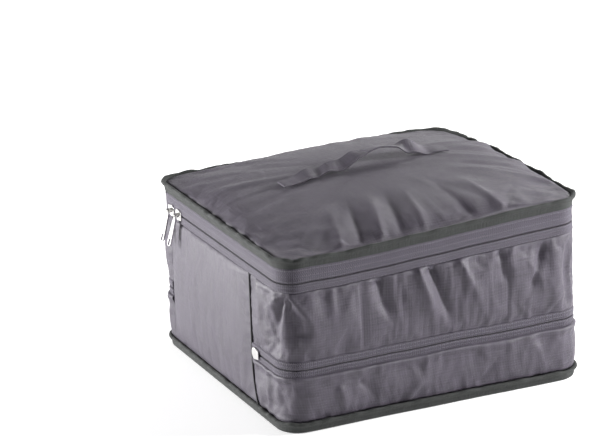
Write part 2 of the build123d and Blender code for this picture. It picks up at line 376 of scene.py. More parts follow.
class Effect:
    """A shader node group under construction, with number inputs and outputs."""

    def __init__(self, name: str, inputs: dict[str, float], outputs: tuple[str, ...]) -> None:
        """Makes the group and its named sockets.

        Args:
            name: Name of the group.
            inputs: Its inputs and their usual values.
            outputs: Its outputs.
        """
        self.tree = bpy.data.node_groups.new(name, "ShaderNodeTree")
        for key, value in inputs.items():
            socket = self.tree.interface.new_socket(key, in_out="INPUT", socket_type="NodeSocketFloat")
            socket.default_value = value
        for key in outputs:
            self.tree.interface.new_socket(key, in_out="OUTPUT", socket_type="NodeSocketFloat")
        self.inputs = self.tree.nodes.new("NodeGroupInput").outputs
        self.outputs = self.tree.nodes.new("NodeGroupOutput").inputs

    def math(self, operation: str, first: object, second: object = None) -> bpy.types.NodeSocket:
        """Adds a Math node.

        Args:
            operation: Name of the Math operation.
            first: Socket or number for the first value.
            second: Socket or number for the second value, if the operation has one.

        Returns:
            The output socket.
        """
        return math_node(self.tree, operation, first, second)

    def coordinates(self, source: str) -> bpy.types.Node:
        """Splits a texture coordinate into its parts.

        Args:
            source: Name of the texture coordinate.

        Returns:
            The node whose outputs are X, Y and Z.
        """
        place = self.tree.nodes.new("ShaderNodeTexCoord")
        split = self.tree.nodes.new("ShaderNodeSeparateXYZ")
        self.tree.links.new(place.outputs[source], split.inputs[0])
        return split

    def noise(
        self, source: str, scale: tuple[float, float, float], detail: float = 2.0
    ) -> bpy.types.NodeSocket:
        """Adds noise stretched by its scale along each axis.

        Args:
            source: Texture coordinate to read.
            scale: Noise cells per metre along each axis.
            detail: Detail of the noise.

        Returns:
            The noise's output socket.
        """
        place = self.tree.nodes.new("ShaderNodeTexCoord")
        mapping = self.tree.nodes.new("ShaderNodeMapping")
        clouds = self.tree.nodes.new("ShaderNodeTexNoise")
        mapping.inputs["Scale"].default_value = scale
        clouds.inputs["Scale"].default_value = 1.0
        clouds.inputs["Detail"].default_value = detail
        self.tree.links.new(place.outputs[source], mapping.inputs["Vector"])
        self.tree.links.new(mapping.outputs[0], clouds.inputs["Vector"])
        return clouds.outputs["Fac"]

    def put(self, name: str, socket: bpy.types.NodeSocket) -> None:
        """Connects a socket to a named output."""
        self.tree.links.new(socket, self.outputs[name])


def math_node(
    tree: bpy.types.NodeTree, operation: str, first: object, second: object = None
) -> bpy.types.NodeSocket:
    """Adds a Math node.

    Args:
        tree: Tree that takes the node.
        operation: Name of the Math operation.
        first: Socket or number for the first value.
        second: Socket or number for the second value, if the operation has one.

    Returns:
        The output socket.
    """
    made = tree.nodes.new("ShaderNodeMath")
    made.operation = operation
    for place, value in enumerate((first, second)):
        if isinstance(value, bpy.types.NodeSocket):
            tree.links.new(value, made.inputs[place])
        elif value is not None:
            made.inputs[place].default_value = value
    return made.outputs[0]


def weave_effect() -> bpy.types.NodeTree:
    """Plain weave with ripstop threads at a wider spacing and uneven yarns, on the cloth's own UV map.

    Returns:
        The node group.
    """
    sizes = {"Thread": 0.5 * MM, "Grid": 2.4 * MM, "Grid Line": 0.06}
    effect = Effect("weave", sizes, ("Height", "Line", "Slub"))
    split = effect.coordinates("UV")
    waves, lines = [], []
    for axis in ("X", "Y"):
        turns = effect.math("DIVIDE", split.outputs[axis], effect.inputs["Thread"])
        waves.append(effect.math("SINE", effect.math("MULTIPLY", turns, 2 * pi)))
        cells = effect.math("DIVIDE", split.outputs[axis], effect.inputs["Grid"])
        place = effect.math("PINGPONG", cells, 0.5)
        lines.append(effect.math("LESS_THAN", place, effect.inputs["Grid Line"]))
    weave = effect.math("MULTIPLY", waves[0], waves[1])
    line = effect.math("MAXIMUM", lines[0], lines[1])
    slubs = [effect.noise("UV", scale) for scale in ((620.0, 45.0, 1.0), (45.0, 620.0, 1.0))]
    uneven = effect.math("SUBTRACT", effect.math("ADD", slubs[0], slubs[1]), 1.0)
    slub = effect.math("ADD", effect.math("MULTIPLY", uneven, 1.5), 0.5)
    grain = effect.math("ADD", effect.math("MULTIPLY", weave, 0.4), line)
    effect.put("Height", effect.math("ADD", grain, effect.math("MULTIPLY", slub, 1.6)))
    effect.put("Line", line)
    effect.put("Slub", slub)
    return effect.tree


def herringbone_effect() -> bpy.types.NodeTree:
    """Herringbone twill of a zipper tape, on the tape's own UV map.

    Returns:
        The node group.
    """
    effect = Effect("herringbone", {"Pitch": 1.8 * MM, "Row": 3.0 * MM}, ("Height",))
    split = effect.coordinates("UV")
    lean = effect.math("PINGPONG", effect.math("DIVIDE", split.outputs["Y"], effect.inputs["Row"]), 0.5)
    turns = effect.math("DIVIDE", split.outputs["X"], effect.inputs["Pitch"])
    wave = effect.math("SINE", effect.math("MULTIPLY", effect.math("ADD", turns, lean), 2 * pi))
    uneven = effect.math("SUBTRACT", effect.noise("UV", (900.0, 900.0, 1.0)), 0.5)
    rough = effect.math("MULTIPLY", uneven, 2.4)
    ribs = effect.math("MULTIPLY", wave, 0.5)
    effect.put("Height", effect.math("ADD", ribs, effect.math("ADD", rough, 0.5)))
    return effect.tree


def mottle_effect() -> bpy.types.NodeTree:
    """Slow variation over the cloth, from 0 to 1, on object coordinates.

    Returns:
        The node group.
    """
    effect = Effect("mottle", {"Scale": 30.0}, ("Value",))
    place = effect.tree.nodes.new("ShaderNodeTexCoord")
    clouds = effect.tree.nodes.new("ShaderNodeTexNoise")
    clouds.inputs["Detail"].default_value = 3.0
    effect.tree.links.new(place.outputs["Object"], clouds.inputs["Vector"])
    effect.tree.links.new(effect.inputs["Scale"], clouds.inputs["Scale"])
    effect.put("Value", clouds.outputs["Fac"])
    return effect.tree


@dataclass(frozen=True)
class ClothFinish:
    """A woven finish: its two tones, weave and sheen."""

    name: str
    dark: tuple[float, float, float]
    light: tuple[float, float, float]
    roughness: float
    thread: float = 0.45 * MM
    grid: float = 2.4 * MM
    grid_line: float = 0.05
    relief: float = 0.12 * MM
    sheen: float = 0.08
    mottle_scale: float = 22.0

    def make(self, weave: bpy.types.NodeTree, mottle: bpy.types.NodeTree) -> bpy.types.Material:
        """Builds the material.

        Args:
            weave: Shared weave effect.
            mottle: Shared slow variation.

        Returns:
            The finished material.
        """
        shade = Shade(self.name, self.roughness)
        threads = shade.group(weave, Thread=self.thread, Grid=self.grid, Grid_Line=self.grid_line)
        clouds = shade.group(mottle, Scale=self.mottle_scale)
        line = math_node(shade.tree, "MULTIPLY", threads.outputs["Line"], 0.18)
        slub = math_node(shade.tree, "MULTIPLY", threads.outputs["Slub"], 0.7)
        cloudy = math_node(shade.tree, "MULTIPLY", clouds.outputs["Value"], 0.35)
        share = math_node(shade.tree, "ADD", cloudy, line)
        shade.tones(math_node(shade.tree, "ADD", share, slub), self.dark, self.light)
        gloss = math_node(shade.tree, "MULTIPLY", threads.outputs["Slub"], 0.3)
        rough = math_node(shade.tree, "ADD", gloss, self.roughness - 0.15)
        shade.link(rough, shade.shader.inputs["Roughness"])
        shade.shader.inputs["Sheen Weight"].default_value = self.sheen
        shade.shader.inputs["Sheen Roughness"].default_value = 0.4
        shade.bump(threads.outputs["Height"], self.relief, 0.6)
        return shade.material


@dataclass(frozen=True)
class TapeFinish:
    """The herringbone of the zipper tapes."""

    name: str
    dark: tuple[float, float, float]
    light: tuple[float, float, float]
    roughness: float = 0.72
    relief: float = 0.25 * MM

    def make(self, herringbone: bpy.types.NodeTree, mottle: bpy.types.NodeTree) -> bpy.types.Material:
        """Builds the material.

        Args:
            herringbone: Shared twill effect.
            mottle: Shared slow variation.

        Returns:
            The finished material.
        """
        shade = Shade(self.name, self.roughness)
        twill = shade.group(herringbone)
        clouds = shade.group(mottle, Scale=90.0)
        share = math_node(shade.tree, "MULTIPLY", clouds.outputs["Value"], 0.3)
        ribs = math_node(shade.tree, "MULTIPLY", twill.outputs["Height"], 0.8)
        shade.tones(math_node(shade.tree, "ADD", share, ribs), self.dark, self.light)
        shade.shader.inputs["Sheen Weight"].default_value = 0.05
        shade.bump(twill.outputs["Height"], self.relief, 0.7)
        return shade.material


@dataclass(frozen=True)
class PlainFinish:
    """A moulded, spun or metal finish with a faint variation in its gloss."""

    name: str
    colour: tuple[float, float, float]
    roughness: float
    metallic: float = 0.0

    def make(self, mottle: bpy.types.NodeTree) -> bpy.types.Material:
        """Builds the material from the shared slow variation.

        Args:
            mottle: Shared slow variation.

        Returns:
            The finished material.
        """
        shade = Shade(self.name, self.roughness, self.metallic)
        clouds = shade.group(mottle, Scale=400.0)
        shade.tones(clouds.outputs["Value"], tuple(0.8 * part for part in self.colour), self.colour)
        gloss = math_node(shade.tree, "MULTIPLY", clouds.outputs["Value"], self.roughness)
        shade.link(math_node(shade.tree, "ADD", gloss, self.roughness / 2), shade.shader.inputs["Roughness"])
        shade.bump(clouds.outputs["Value"], 0.02 * MM, 0.3)
        return shade.material


class Wardrobe:
    """All the cube's materials, each made once."""

    def __init__(self) -> None:
        """Builds the shared effects and the finishes."""
        weave, mottle, herringbone = weave_effect(), mottle_effect(), herringbone_effect()
        cloth = ClothFinish("ripstop", (0.024, 0.0198, 0.029), (0.071, 0.0595, 0.084), 0.52)
        self.ripstop = cloth.make(weave, mottle)
        folded = ClothFinish(
            "binding", (0.002, 0.0024, 0.0022), (0.034, 0.037, 0.0352), 0.8, thread=1.1 * MM, grid=6 * MM,
            grid_line=0.0, relief=0.4 * MM, sheen=0.05, mottle_scale=60,
        )
        self.binding = folded.make(weave, mottle)
        tape = TapeFinish("zipper_tape", (0.006, 0.0048, 0.0075), (0.086, 0.073, 0.104))
        self.tape = tape.make(herringbone, mottle)
        self.thread = PlainFinish("thread", (0.03, 0.029, 0.032), 0.6).make(mottle)
        self.tape_thread = PlainFinish("tape_thread", (0.13, 0.12, 0.14), 0.6).make(mottle)
        self.coil = PlainFinish("coil", (0.045, 0.042, 0.048), 0.45).make(mottle)
        self.nickel = PlainFinish("nickel", (0.9, 0.89, 0.87), 0.16, 1.0).make(mottle)


# ---------------------------------------------------------------- the cube's form
@dataclass(frozen=True)
class CubeForm:
    """Outline and levels of the cube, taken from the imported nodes."""

    radius: float = 20 * MM
    stuffed_rise: float = 11 * MM
    seam_sweep: float = 13 * MM
    overlap: float = 3 * MM
    tucked: float = 3 * MM
    fade: float = 45 * MM
    half: tuple[float, float] = field(init=False)
    floor_rim: float = field(init=False)
    expansion: tuple[float, float, float] = field(init=False)
    lid_band: tuple[float, float, float] = field(init=False)
    rim: tuple[float, float] = field(init=False)
    crown: float = field(init=False)
    seams: tuple[float, float] = field(init=False)

    def __post_init__(self) -> None:
        """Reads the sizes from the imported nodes."""
        wall_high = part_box("upper_wall")[1]
        rim_low, rim_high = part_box("lid_binding")
        panel_low, panel_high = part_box("end_panel_upper")
        expansion, lid_band = self._chain("expansion_zip"), self._chain("lid_zip")
        values = {
            "half": (wall_high.x, wall_high.y),
            "floor_rim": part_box("bottom_binding")[1].z,
            "expansion": (*expansion[:2], expansion[2] - self.overlap),
            "lid_band": (lid_band[0] + self.overlap, *lid_band[1:]),
            "rim": (rim_low.z, rim_high.z),
            "crown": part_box("lid_panel")[1].z,
            "seams": (panel_low.y, panel_high.y),
        }
        for name, value in values.items():
            object.__setattr__(self, name, value)

    @staticmethod
    def _chain(zipper: str) -> tuple[float, float, float]:
        """Returns the bottom, chain and top heights of a zipper's two tapes."""
        lower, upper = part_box(f"{zipper}_tape_lower"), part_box(f"{zipper}_tape_upper")
        return lower[0].z, (lower[1].z + upper[0].z) / 2, upper[1].z

    @property
    def straights(self) -> tuple[float, float]:
        """Lengths of the straight runs along Y and along X."""
        return 2 * (self.half[1] - self.radius), 2 * (self.half[0] - self.radius)

    @property
    def perimeter(self) -> float:
        """Length of the outline."""
        return 2 * sum(self.straights) + 2 * pi * self.radius

    @property
    def zip_end(self) -> float:
        """Where the lid's zipper stops along the outline, and the back begins."""
        return 2 * self.straights[0] + self.straights[1] + pi * self.radius

    @property
    def wall_span(self) -> tuple[float, float]:
        """Start and end of the cloth walls along the outline, at the end wall's two seams."""
        return self.place(self.seams[0]), self.perimeter + self.place(self.seams[1])

    @property
    def wall_foot(self) -> float:
        """Height of the walls' lower edge, which is tucked into the bottom binding."""
        return self.floor_rim - self.tucked

    def outward(self, along: Array) -> Array:
        """Outward normals of the outline, one row for each distance along it."""
        _, _, normal_x, normal_y = self.outline(along)
        return joined(normal_x, normal_y, np.zeros_like(normal_x))

    def place(self, y: Array | float) -> Array | float:
        """Distance along the outline of a point of the end wall at -X."""
        return self.half[1] - self.radius - y

    def front_seam(self, height: Array) -> Array:
        """Where the end wall's front seam runs at each height; near the floor it sweeps to the corner."""
        below = np.clip((self.expansion[0] - height) / self.expansion[0], 0, 1)
        return self.seams[0] - self.seam_sweep * below**2

    def outline(self, along: Array, out: Array | float = 0.0) -> tuple[Array, Array, Array, Array]:
        """Walks the rounded outline: the end wall from its rear, the front, the far end and the back.

        Args:
            along: Distances along the outline.
            out: How far outside the outline each point lies.

        Returns:
            x, y and the outward normal's x and y.
        """
        arc = pi * self.radius / 2
        sides = [self.straights[0], self.straights[1]] * 2
        core = (self.half[0] - self.radius, self.half[1] - self.radius)
        centres = [(-core[0], core[1]), (-core[0], -core[1]), (core[0], -core[1]), (core[0], core[1])]
        left = np.mod(np.asarray(along, dtype=float), self.perimeter)
        x, y, turn = (np.zeros_like(left) for _ in range(3))
        begin = 0.0
        for side, length in enumerate(sides):
            start, corner = centres[side], centres[(side + 1) % 4]
            angle = pi + side * pi / 2
            run = (left >= begin) & (left <= begin + length)
            share = (left[run] - begin) / length
            x[run] = start[0] + (corner[0] - start[0]) * share
            y[run] = start[1] + (corner[1] - start[1]) * share
            turn[run] = angle
            bend = (left > begin + length) & (left <= begin + length + arc)
            x[bend], y[bend] = corner
            turn[bend] = angle + (left[bend] - begin - length) / self.radius
            begin += length + arc
        normal_x, normal_y = np.cos(turn), np.sin(turn)
        reach = self.radius + out
        return x + reach * normal_x, y + reach * normal_y, normal_x, normal_y

    def slack(self, along: Array) -> Array:
        """1 where the outline may wander, and 0 along the end wall, where the sliders run.

        Args:
            along: Distances along the outline.

        Returns:
            One share for each distance.
        """
        left = np.mod(along, self.perimeter)
        end = self.straights[0]
        loosens = step(end + 5 * MM, end + self.fade, left)
        return loosens * (1 - step(self.perimeter - self.fade, self.perimeter, left))

    def back_drop(self, along: Array) -> Array:
        """How far the upper wall's top edge is lower along the back, where the lid folds over.

        Args:
            along: Distances along the outline.

        Returns:
            Depths, one for each distance.
        """
        drops = step(self.zip_end - 14 * MM, self.zip_end - 2 * MM, along)
        back = drops * (1 - step(-2 * MM, 3 * MM, along - self.perimeter))
        return self.overlap * back

    def surface(self, along: Array, height: Array, out: Array | float = 0.0) -> Array:
        """Points of the stuffed cube's wall.

        Args:
            along: Distances along the outline.
            height: Heights before the stuffing lifts the far end.
            out: How far outside the outline each point lies.

        Returns:
            Positions, one row each.
        """
        loose = self.slack(along)
        x, y, normal_x, normal_y = self.outline(along)
        here = joined(x, y, height)
        belly = np.sin(np.clip(height / self.rim[0], 0, 1) * pi)
        moved = out + loose * (1.2 * MM * ripple(here, 70 * MM, 3.0) + 0.8 * MM * belly)
        settled = step(self.floor_rim * 0.6, self.expansion[0], height)
        wander = loose * 1.0 * MM * ripple(here, 40 * MM, 9.0) * settled
        lifted = height + self.rise(x, y, height) + wander
        return joined(x + moved * normal_x, y + moved * normal_y, lifted)

    def rise(self, x: Array, y: Array, height: Array) -> Array:
        """How far the stuffing lifts the cloth, most at the far front corner.

        Args:
            x: Places along X.
            y: Places along Y.
            height: Heights before the lift.

        Returns:
            One lift for each point.
        """
        toward_end = step(-0.8 * self.half[0], 1.05 * self.half[0], x)
        toward_front = 0.35 + 0.65 * (1 - step(0.0, self.half[1], y))
        above = step(self.expansion[2] - 10 * MM, self.lid_band[0] + 30 * MM, height)
        return self.stuffed_rise * toward_end * toward_front * above


def border(across: int, up: int) -> Array:
    """True for the vertices on a grid's border."""
    column, row = np.meshgrid(np.arange(across + 1), np.arange(up + 1))
    return ((column == 0) | (column == across) | (row == 0) | (row == up)).ravel()


def normals_of(obj: bpy.types.Object) -> Array:
    """Reads the object's vertex normals.

    Args:
        obj: The mesh object.

    Returns:
        Normals, one row each.
    """
    flat = np.empty(len(obj.data.vertices) * 3)
    obj.data.vertices.foreach_get("normal", flat)
    return flat.reshape(-1, 3)


@dataclass(frozen=True)
class Fold:
    """One fold laid into a panel, along a line of the panel's own cloth coordinates."""

    top: tuple[float, float]
    bottom: tuple[float, float]
    width: float
    depth: float

    def height(self, along: Array, level: Array) -> Array:
        """Height of the fold over the cloth.

        Args:
            along: First cloth coordinate of each point.
            level: Second cloth coordinate of each point.

        Returns:
            One height for each point.
        """
        run = np.array([self.bottom[0] - self.top[0], self.bottom[1] - self.top[1]])
        length = float(np.hypot(*run))
        run = run / length
        offset = np.stack([along - self.top[0], level - self.top[1]])
        forward = offset[0] * run[0] + offset[1] * run[1]
        aside = np.abs(offset[0] * run[1] - offset[1] * run[0])
        share = np.clip(forward / length, 0, 1)
        spread = self.width * (0.45 + 0.75 * share)
        fade = step(-0.05, 0.12, forward / length) * (1 - step(0.55, 1.0, forward / length))
        return self.depth * fade * np.exp(-((aside / spread) ** 1.3))


@dataclass
class ClothPiece:
    """Common ending of a cloth piece: material and replaced nodes."""

    form: CubeForm
    wardrobe: Wardrobe

    def dress(
        self,
        obj: bpy.types.Object,
        material: bpy.types.Material,
        slot: str,
        nodes: tuple[str, ...] = (),
        flat: tuple[float, float] | None = None,
        held: str = "stretched",
        rests_on: tuple[str, ...] = (),
    ) -> bpy.types.Object:
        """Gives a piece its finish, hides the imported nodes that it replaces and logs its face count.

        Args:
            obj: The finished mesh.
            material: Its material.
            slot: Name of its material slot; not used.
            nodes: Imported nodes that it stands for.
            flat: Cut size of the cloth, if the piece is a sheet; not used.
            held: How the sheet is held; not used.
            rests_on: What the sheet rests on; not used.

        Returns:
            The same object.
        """
        obj.data.materials.clear()
        obj.data.materials.append(material)
        if nodes:
            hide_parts(*nodes)
        LOG.info("%s: %d faces", obj.name, len(obj.data.polygons))
        return obj


# ---------------------------------------------------------------- repeated stitches and teeth
class Row:
    """One small part, modelled once and copied along a line into a single mesh."""

    def __init__(self, pattern: bpy.types.Object) -> None:
        """Keeps the pattern's points and faces, and removes the pattern.

        Args:
            pattern: The part, modelled round the origin.
        """
        self.points = points_of(pattern)
        self.faces = [list(face.vertices) for face in pattern.data.polygons]
        bpy.data.objects.remove(pattern)

    @staticmethod
    def stitch(length: float, thickness: float) -> Row:
        """One stitch: a short thread that dips at its ends, along X with Z outwards.

        Args:
            length: Length of the stitch.
            thickness: Thickness of the thread.

        Returns:
            The row that copies it.
        """
        deselect()
        bpy.ops.mesh.primitive_cylinder_add(
            vertices=5, radius=thickness / 2, depth=length, end_fill_type="NGON"
        )
        pattern = bpy.context.object
        shaped = points_of(pattern)[:, [2, 0, 1]]
        ends = np.abs(shaped[:, 0]) > 0.4 * length
        shaped[ends, 2] -= 0.5 * thickness
        place_points(pattern, shaped)
        return Row(pattern)

    @staticmethod
    def tooth(length: float, height: float, depth: float) -> Row:
        """One loop of a coil: a rounded bar across the chain, along Y with Z outwards.

        Args:
            length: Size along the chain.
            height: Size across the chain.
            depth: Size towards the inside.

        Returns:
            The row that copies it.
        """
        deselect()
        bpy.ops.mesh.primitive_cylinder_add(vertices=6, radius=0.5, depth=1, end_fill_type="NGON")
        pattern = bpy.context.object
        bpy.ops.object.mode_set(mode="EDIT")
        bpy.ops.mesh.select_all(action="SELECT")
        bpy.ops.mesh.bevel(offset=0.14, segments=1)
        bpy.ops.object.mode_set(mode="OBJECT")
        place_points(pattern, points_of(pattern)[:, [0, 2, 1]] * (length, height, depth))
        return Row(pattern)

    def lay(self, name: str, places: Array, outward: Array) -> bpy.types.Object:
        """Copies the part along a line.

        Args:
            name: Name of the joined piece.
            places: Middle of each copy, with one more row that ends the line.
            outward: Outward direction at each copy.

        Returns:
            The joined piece.
        """
        ahead = unit(places[1:] - places[:-1])
        middles, out = (places[1:] + places[:-1]) / 2, outward[: len(ahead)]
        aside = unit(np.cross(out, ahead))
        out = np.cross(ahead, aside)
        frame_axes = joined(ahead, aside, out)
        points = (self.points @ frame_axes + middles[:, None, :]).reshape(-1, 3)
        count = len(self.points)
        starts = [copy * count for copy in range(len(middles))]
        faces = [[vertex + start for vertex in face] for start in starts for face in self.faces]
        mesh = bpy.data.meshes.new(name)
        mesh.from_pydata(points.tolist(), [], faces)
        obj = bpy.data.objects.new(name, mesh)
        bpy.context.scene.collection.objects.link(obj)
        choose(obj)
        bpy.ops.object.shade_smooth()
        return obj


@dataclass
class Seams(ClothPiece):
    """Stitch rows on the bindings and the zipper tapes."""

    pitch: float = 3.4 * MM
    stitch_length: float = 2.5 * MM
    thread: float = 0.5 * MM

    def around(
        self, name: str, body: Body, span: tuple[float, float], spot: Callable[[Array], Array], proud: float,
        thread: bpy.types.Material,
    ) -> None:
        """Lays one row of stitches around the cube.

        Args:
            name: Name of the row.
            body: Body that it rides on.
            span: Start and end along the outline.
            spot: Gives the surface point for each distance along the outline.
            proud: How far the row stands out of the surface.
            thread: Material of the thread.
        """
        count = round((span[1] - span[0]) / self.pitch)
        along = np.linspace(span[0], span[1], count + 1)
        outward = self.form.outward(along)
        places = spot(along) + outward * proud
        row = Row.stitch(self.stitch_length, self.thread).lay(name, places, outward)
        self.dress(row, thread, "binding")
        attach(row, body.value)


# ---------------------------------------------------------------- panels
@dataclass
class WallPanels(ClothPiece):
    """The two cloth walls round the front, the far end and the back."""

    mesh_size: float = 1.9 * MM
    tuck: float = 0.9 * MM
    hem: float = 3.5 * MM
    hem_proud: float = 1.4 * MM
    hem_curl: float = 1.6 * MM
    puff: float = 2.2 * MM
    sag: float = 4.0 * MM
    hang: float = 3.4 * MM
    fine: float = 0.9 * MM
    pucker: float = 1.5 * MM
    crumple: float = 0.7 * MM
    slow: float = 1.1 * MM

    @property
    def front_corner(self) -> float:
        """Distance along the outline of the middle of the near front corner."""
        return self.form.straights[0] + pi * self.form.radius / 4

    def gathers(self, along: Array, level: Array, low: float, high: float) -> Array:
        """Folds that hang from the upper seam, short puckers at the lower one, and crumples at the corner.

        Args:
            along: Distances along the outline.
            level: Heights.
            low: Height of the lower seam.
            high: Height of the upper seam.

        Returns:
            Height of the folds over the cloth.
        """
        flat = joined(along, level * 0.22, np.zeros_like(along))
        below, above = high - level, level - low
        line = joined(along, 0 * level, 0 * level)
        reach = 24 * MM * (1 + 0.8 * ripple(line, 35 * MM, 8.0))
        hanging = crests(flat, 15 * MM, 4.0) ** 1.3 - 0.45
        patchy = 0.35 + 0.65 * step(-0.1, 0.5, ripple(line, 45 * MM, 17.0))
        hang = self.hang * patchy * hanging * step(0, 4 * MM, below)
        hang = hang * np.exp(-below / np.maximum(reach, 6 * MM))
        fine = self.fine * ripple(flat * (1, 1.5, 1), 5 * MM, 1.0) * step(0, 2 * MM, below)
        fine = fine * np.exp(-below / (7 * MM))
        pucker = self.pucker * (crests(flat * (1, 2, 1), 12 * MM, 7.0) - 0.5) * step(0, 3 * MM, above)
        pucker = pucker * np.exp(-above / (11 * MM))
        near = np.exp(-(((along - self.front_corner) / (36 * MM)) ** 4))
        round_flat = joined(along, level, np.zeros_like(along))
        crumple = self.crumple * (crests(round_flat, 19 * MM, 2.0) - 0.4) * near
        crumple = crumple + 0.3 * MM * (crests(round_flat, 9 * MM, 14.0) - 0.4) * near
        crumple = crumple * step(0, 8 * MM, below) * step(0, 8 * MM, above)
        slow = self.slow * ripple(round_flat, 26 * MM, 12.0) * step(0, 10 * MM, below)
        slow = slow * step(0, 10 * MM, above)
        return hang + fine + pucker + crumple + slow

    def wall(
        self, name: str, node: str, body: Body, low: float, high: float, drape: Drape, folds: list[Fold],
        hemmed: bool,
    ) -> None:
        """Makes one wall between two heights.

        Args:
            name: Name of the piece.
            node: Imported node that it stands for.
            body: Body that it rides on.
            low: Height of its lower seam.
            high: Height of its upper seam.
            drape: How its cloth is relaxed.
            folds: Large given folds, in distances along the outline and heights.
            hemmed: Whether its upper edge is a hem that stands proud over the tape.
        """
        form = self.form
        start, end = form.wall_span
        length, height = end - start, high - low
        across, up = round(length / self.mesh_size), round(height / self.mesh_size)
        columns, rows = grid_places(across, up)

        def seam(u: Array, v: Array) -> tuple[Array, Array]:
            """Maps the grid onto the cloth between the seams.

            Args:
                u: First grid coordinate, from 0 to 1.
                v: Second grid coordinate, from 0 to 1.

            Returns:
                Distances along the outline, and heights.
            """
            level = low + v * height
            begin = form.place(form.front_seam(level))
            along = begin + u * (end - begin)
            return along, level - v * form.back_drop(along) * (not hemmed)

        def shape(u: Array, v: Array) -> Array:
            """Lays the wall on the outline.

            Args:
                u: First grid coordinate, from 0 to 1.
                v: Second grid coordinate, from 0 to 1.

            Returns:
                Positions, one row each.
            """
            along, level = seam(u, v)
            ends = step(0, 10 * MM, u * length) * step(0, 10 * MM, (1 - u) * length)
            out = -self.tuck - 0.6 * MM * step(height - 3 * MM, height, v * height) * (not hemmed)
            sag = self.sag * swell(along - self.front_corner, -12 * MM, 26 * MM)
            out = out + np.sin(pi * v) ** 0.7 * (self.puff - sag) * ends
            if hemmed:
                proud = step(height - 9 * MM, height - 2 * MM, v * height) * step(0, 4 * MM, u * length)
                curl = step(height - 1.2 * MM, height, v * height)
                out = out + proud * (self.tuck + self.hem_proud) - curl * self.hem_curl
            return form.surface(along, level, out)

        obj = cloth_grid(name, across, up, (length, height), shape)
        held = border(across, up)
        if hemmed:
            held |= rows * height > height - 2.5 * MM
        drape.relax(obj, held)
        along, level = seam(columns, rows)
        lay = self.gathers(along, level, low, high)
        for fold in folds:
            lay = lay + fold.height(along, level)
        seam_ends = step(0, 6 * MM, columns * length) * step(0, 6 * MM, (1 - columns) * length)
        lay = lay * seam_ends * (1 - step(height - 5 * MM, height, rows * height) * hemmed)
        place_points(obj, points_of(obj) + normals_of(obj) * lay[:, None])
        thicken(obj, CLOTH_THICKNESS)
        self.dress(
            obj, self.wardrobe.ripstop, "ripstop", (node,), (length, height), "gathered", ("bottom_binding",)
        )
        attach(obj, body.value)

    def front(self, x: float) -> float:
        """Distance along the outline of a point of the front wall."""
        form = self.form
        return form.straights[0] + pi * form.radius / 2 + x + form.half[0] - form.radius

    def front_folds(self, head: float, foot: float, sizes: tuple[tuple[float, ...], ...]) -> list[Fold]:
        """Folds of the front wall, listed in millimetres.

        Args:
            head: Height that the first ends are measured from.
            foot: Height that the last ends are measured from.
            sizes: For each fold, x and height of its first end and of its last end, width and depth.

        Returns:
            The folds.
        """
        return [
            Fold(
                (self.front(first * MM), head + first_up * MM), (self.front(last * MM), foot + last_up * MM),
                width * MM, depth * MM,
            )
            for first, first_up, last, last_up, width, depth in sizes
        ]

    def build(self) -> None:
        """Makes both walls."""
        form = self.form
        base, top, corner = form.expansion[2], form.lid_band[0], self.front_corner
        upper_folds = self.front_folds(
            top,
            base,
            (
                (-4, 0, 18, 4, 8, -7.0),
                (-16, 0, 0, 12, 6, 3.6),
                (22, 0, 44, 18, 6, 3.4),
                (-52, 0, -44, 22, 6, -4.2),
                (62, 0, 66, 30, 5, -3.6),
                (104, -4, 84, 10, 5, -3.8),
            ),
        )
        upper_folds.append(
            Fold((corner - 30 * MM, top - 10 * MM), (corner - 6 * MM, base), 4 * MM, -1.8 * MM)
        )
        fan = ((-34, 26, 1.8), (-20, 46, -2.0), (-8, 54, 2.2), (10, 50, -2.2), (26, 34, 2.0))
        upper_folds += [
            Fold((corner, top), (corner + aside * MM, top - drop * MM), 3.2 * MM, depth * MM)
            for aside, drop, depth in fan
        ]
        lower_folds = self.front_folds(
            0.0,
            0.0,
            (
                (-72, 40, -52, 12, 9, -3.6),
                (-92, 38, -84, 10, 6, 2.6),
                (-28, 12, -10, 34, 5, 2.6),
                (40, 12, 62, 40, 6, -2.2),
            ),
        )
        lower_folds.append(
            Fold((corner - 20 * MM, 46 * MM), (corner + 4 * MM, 10 * MM), 6 * MM, -2.0 * MM)
        )
        hem = form.expansion[0] + self.hem
        loose, looser = Drape(0.008, 0.6), Drape(0.02, 0.5)
        self.wall("lower_wall_cloth", "lower_wall", Body.BASE, form.wall_foot, hem, loose, lower_folds, True)
        self.wall("upper_wall_cloth", "upper_wall", Body.UPPER, base, top, looser, upper_folds, False)


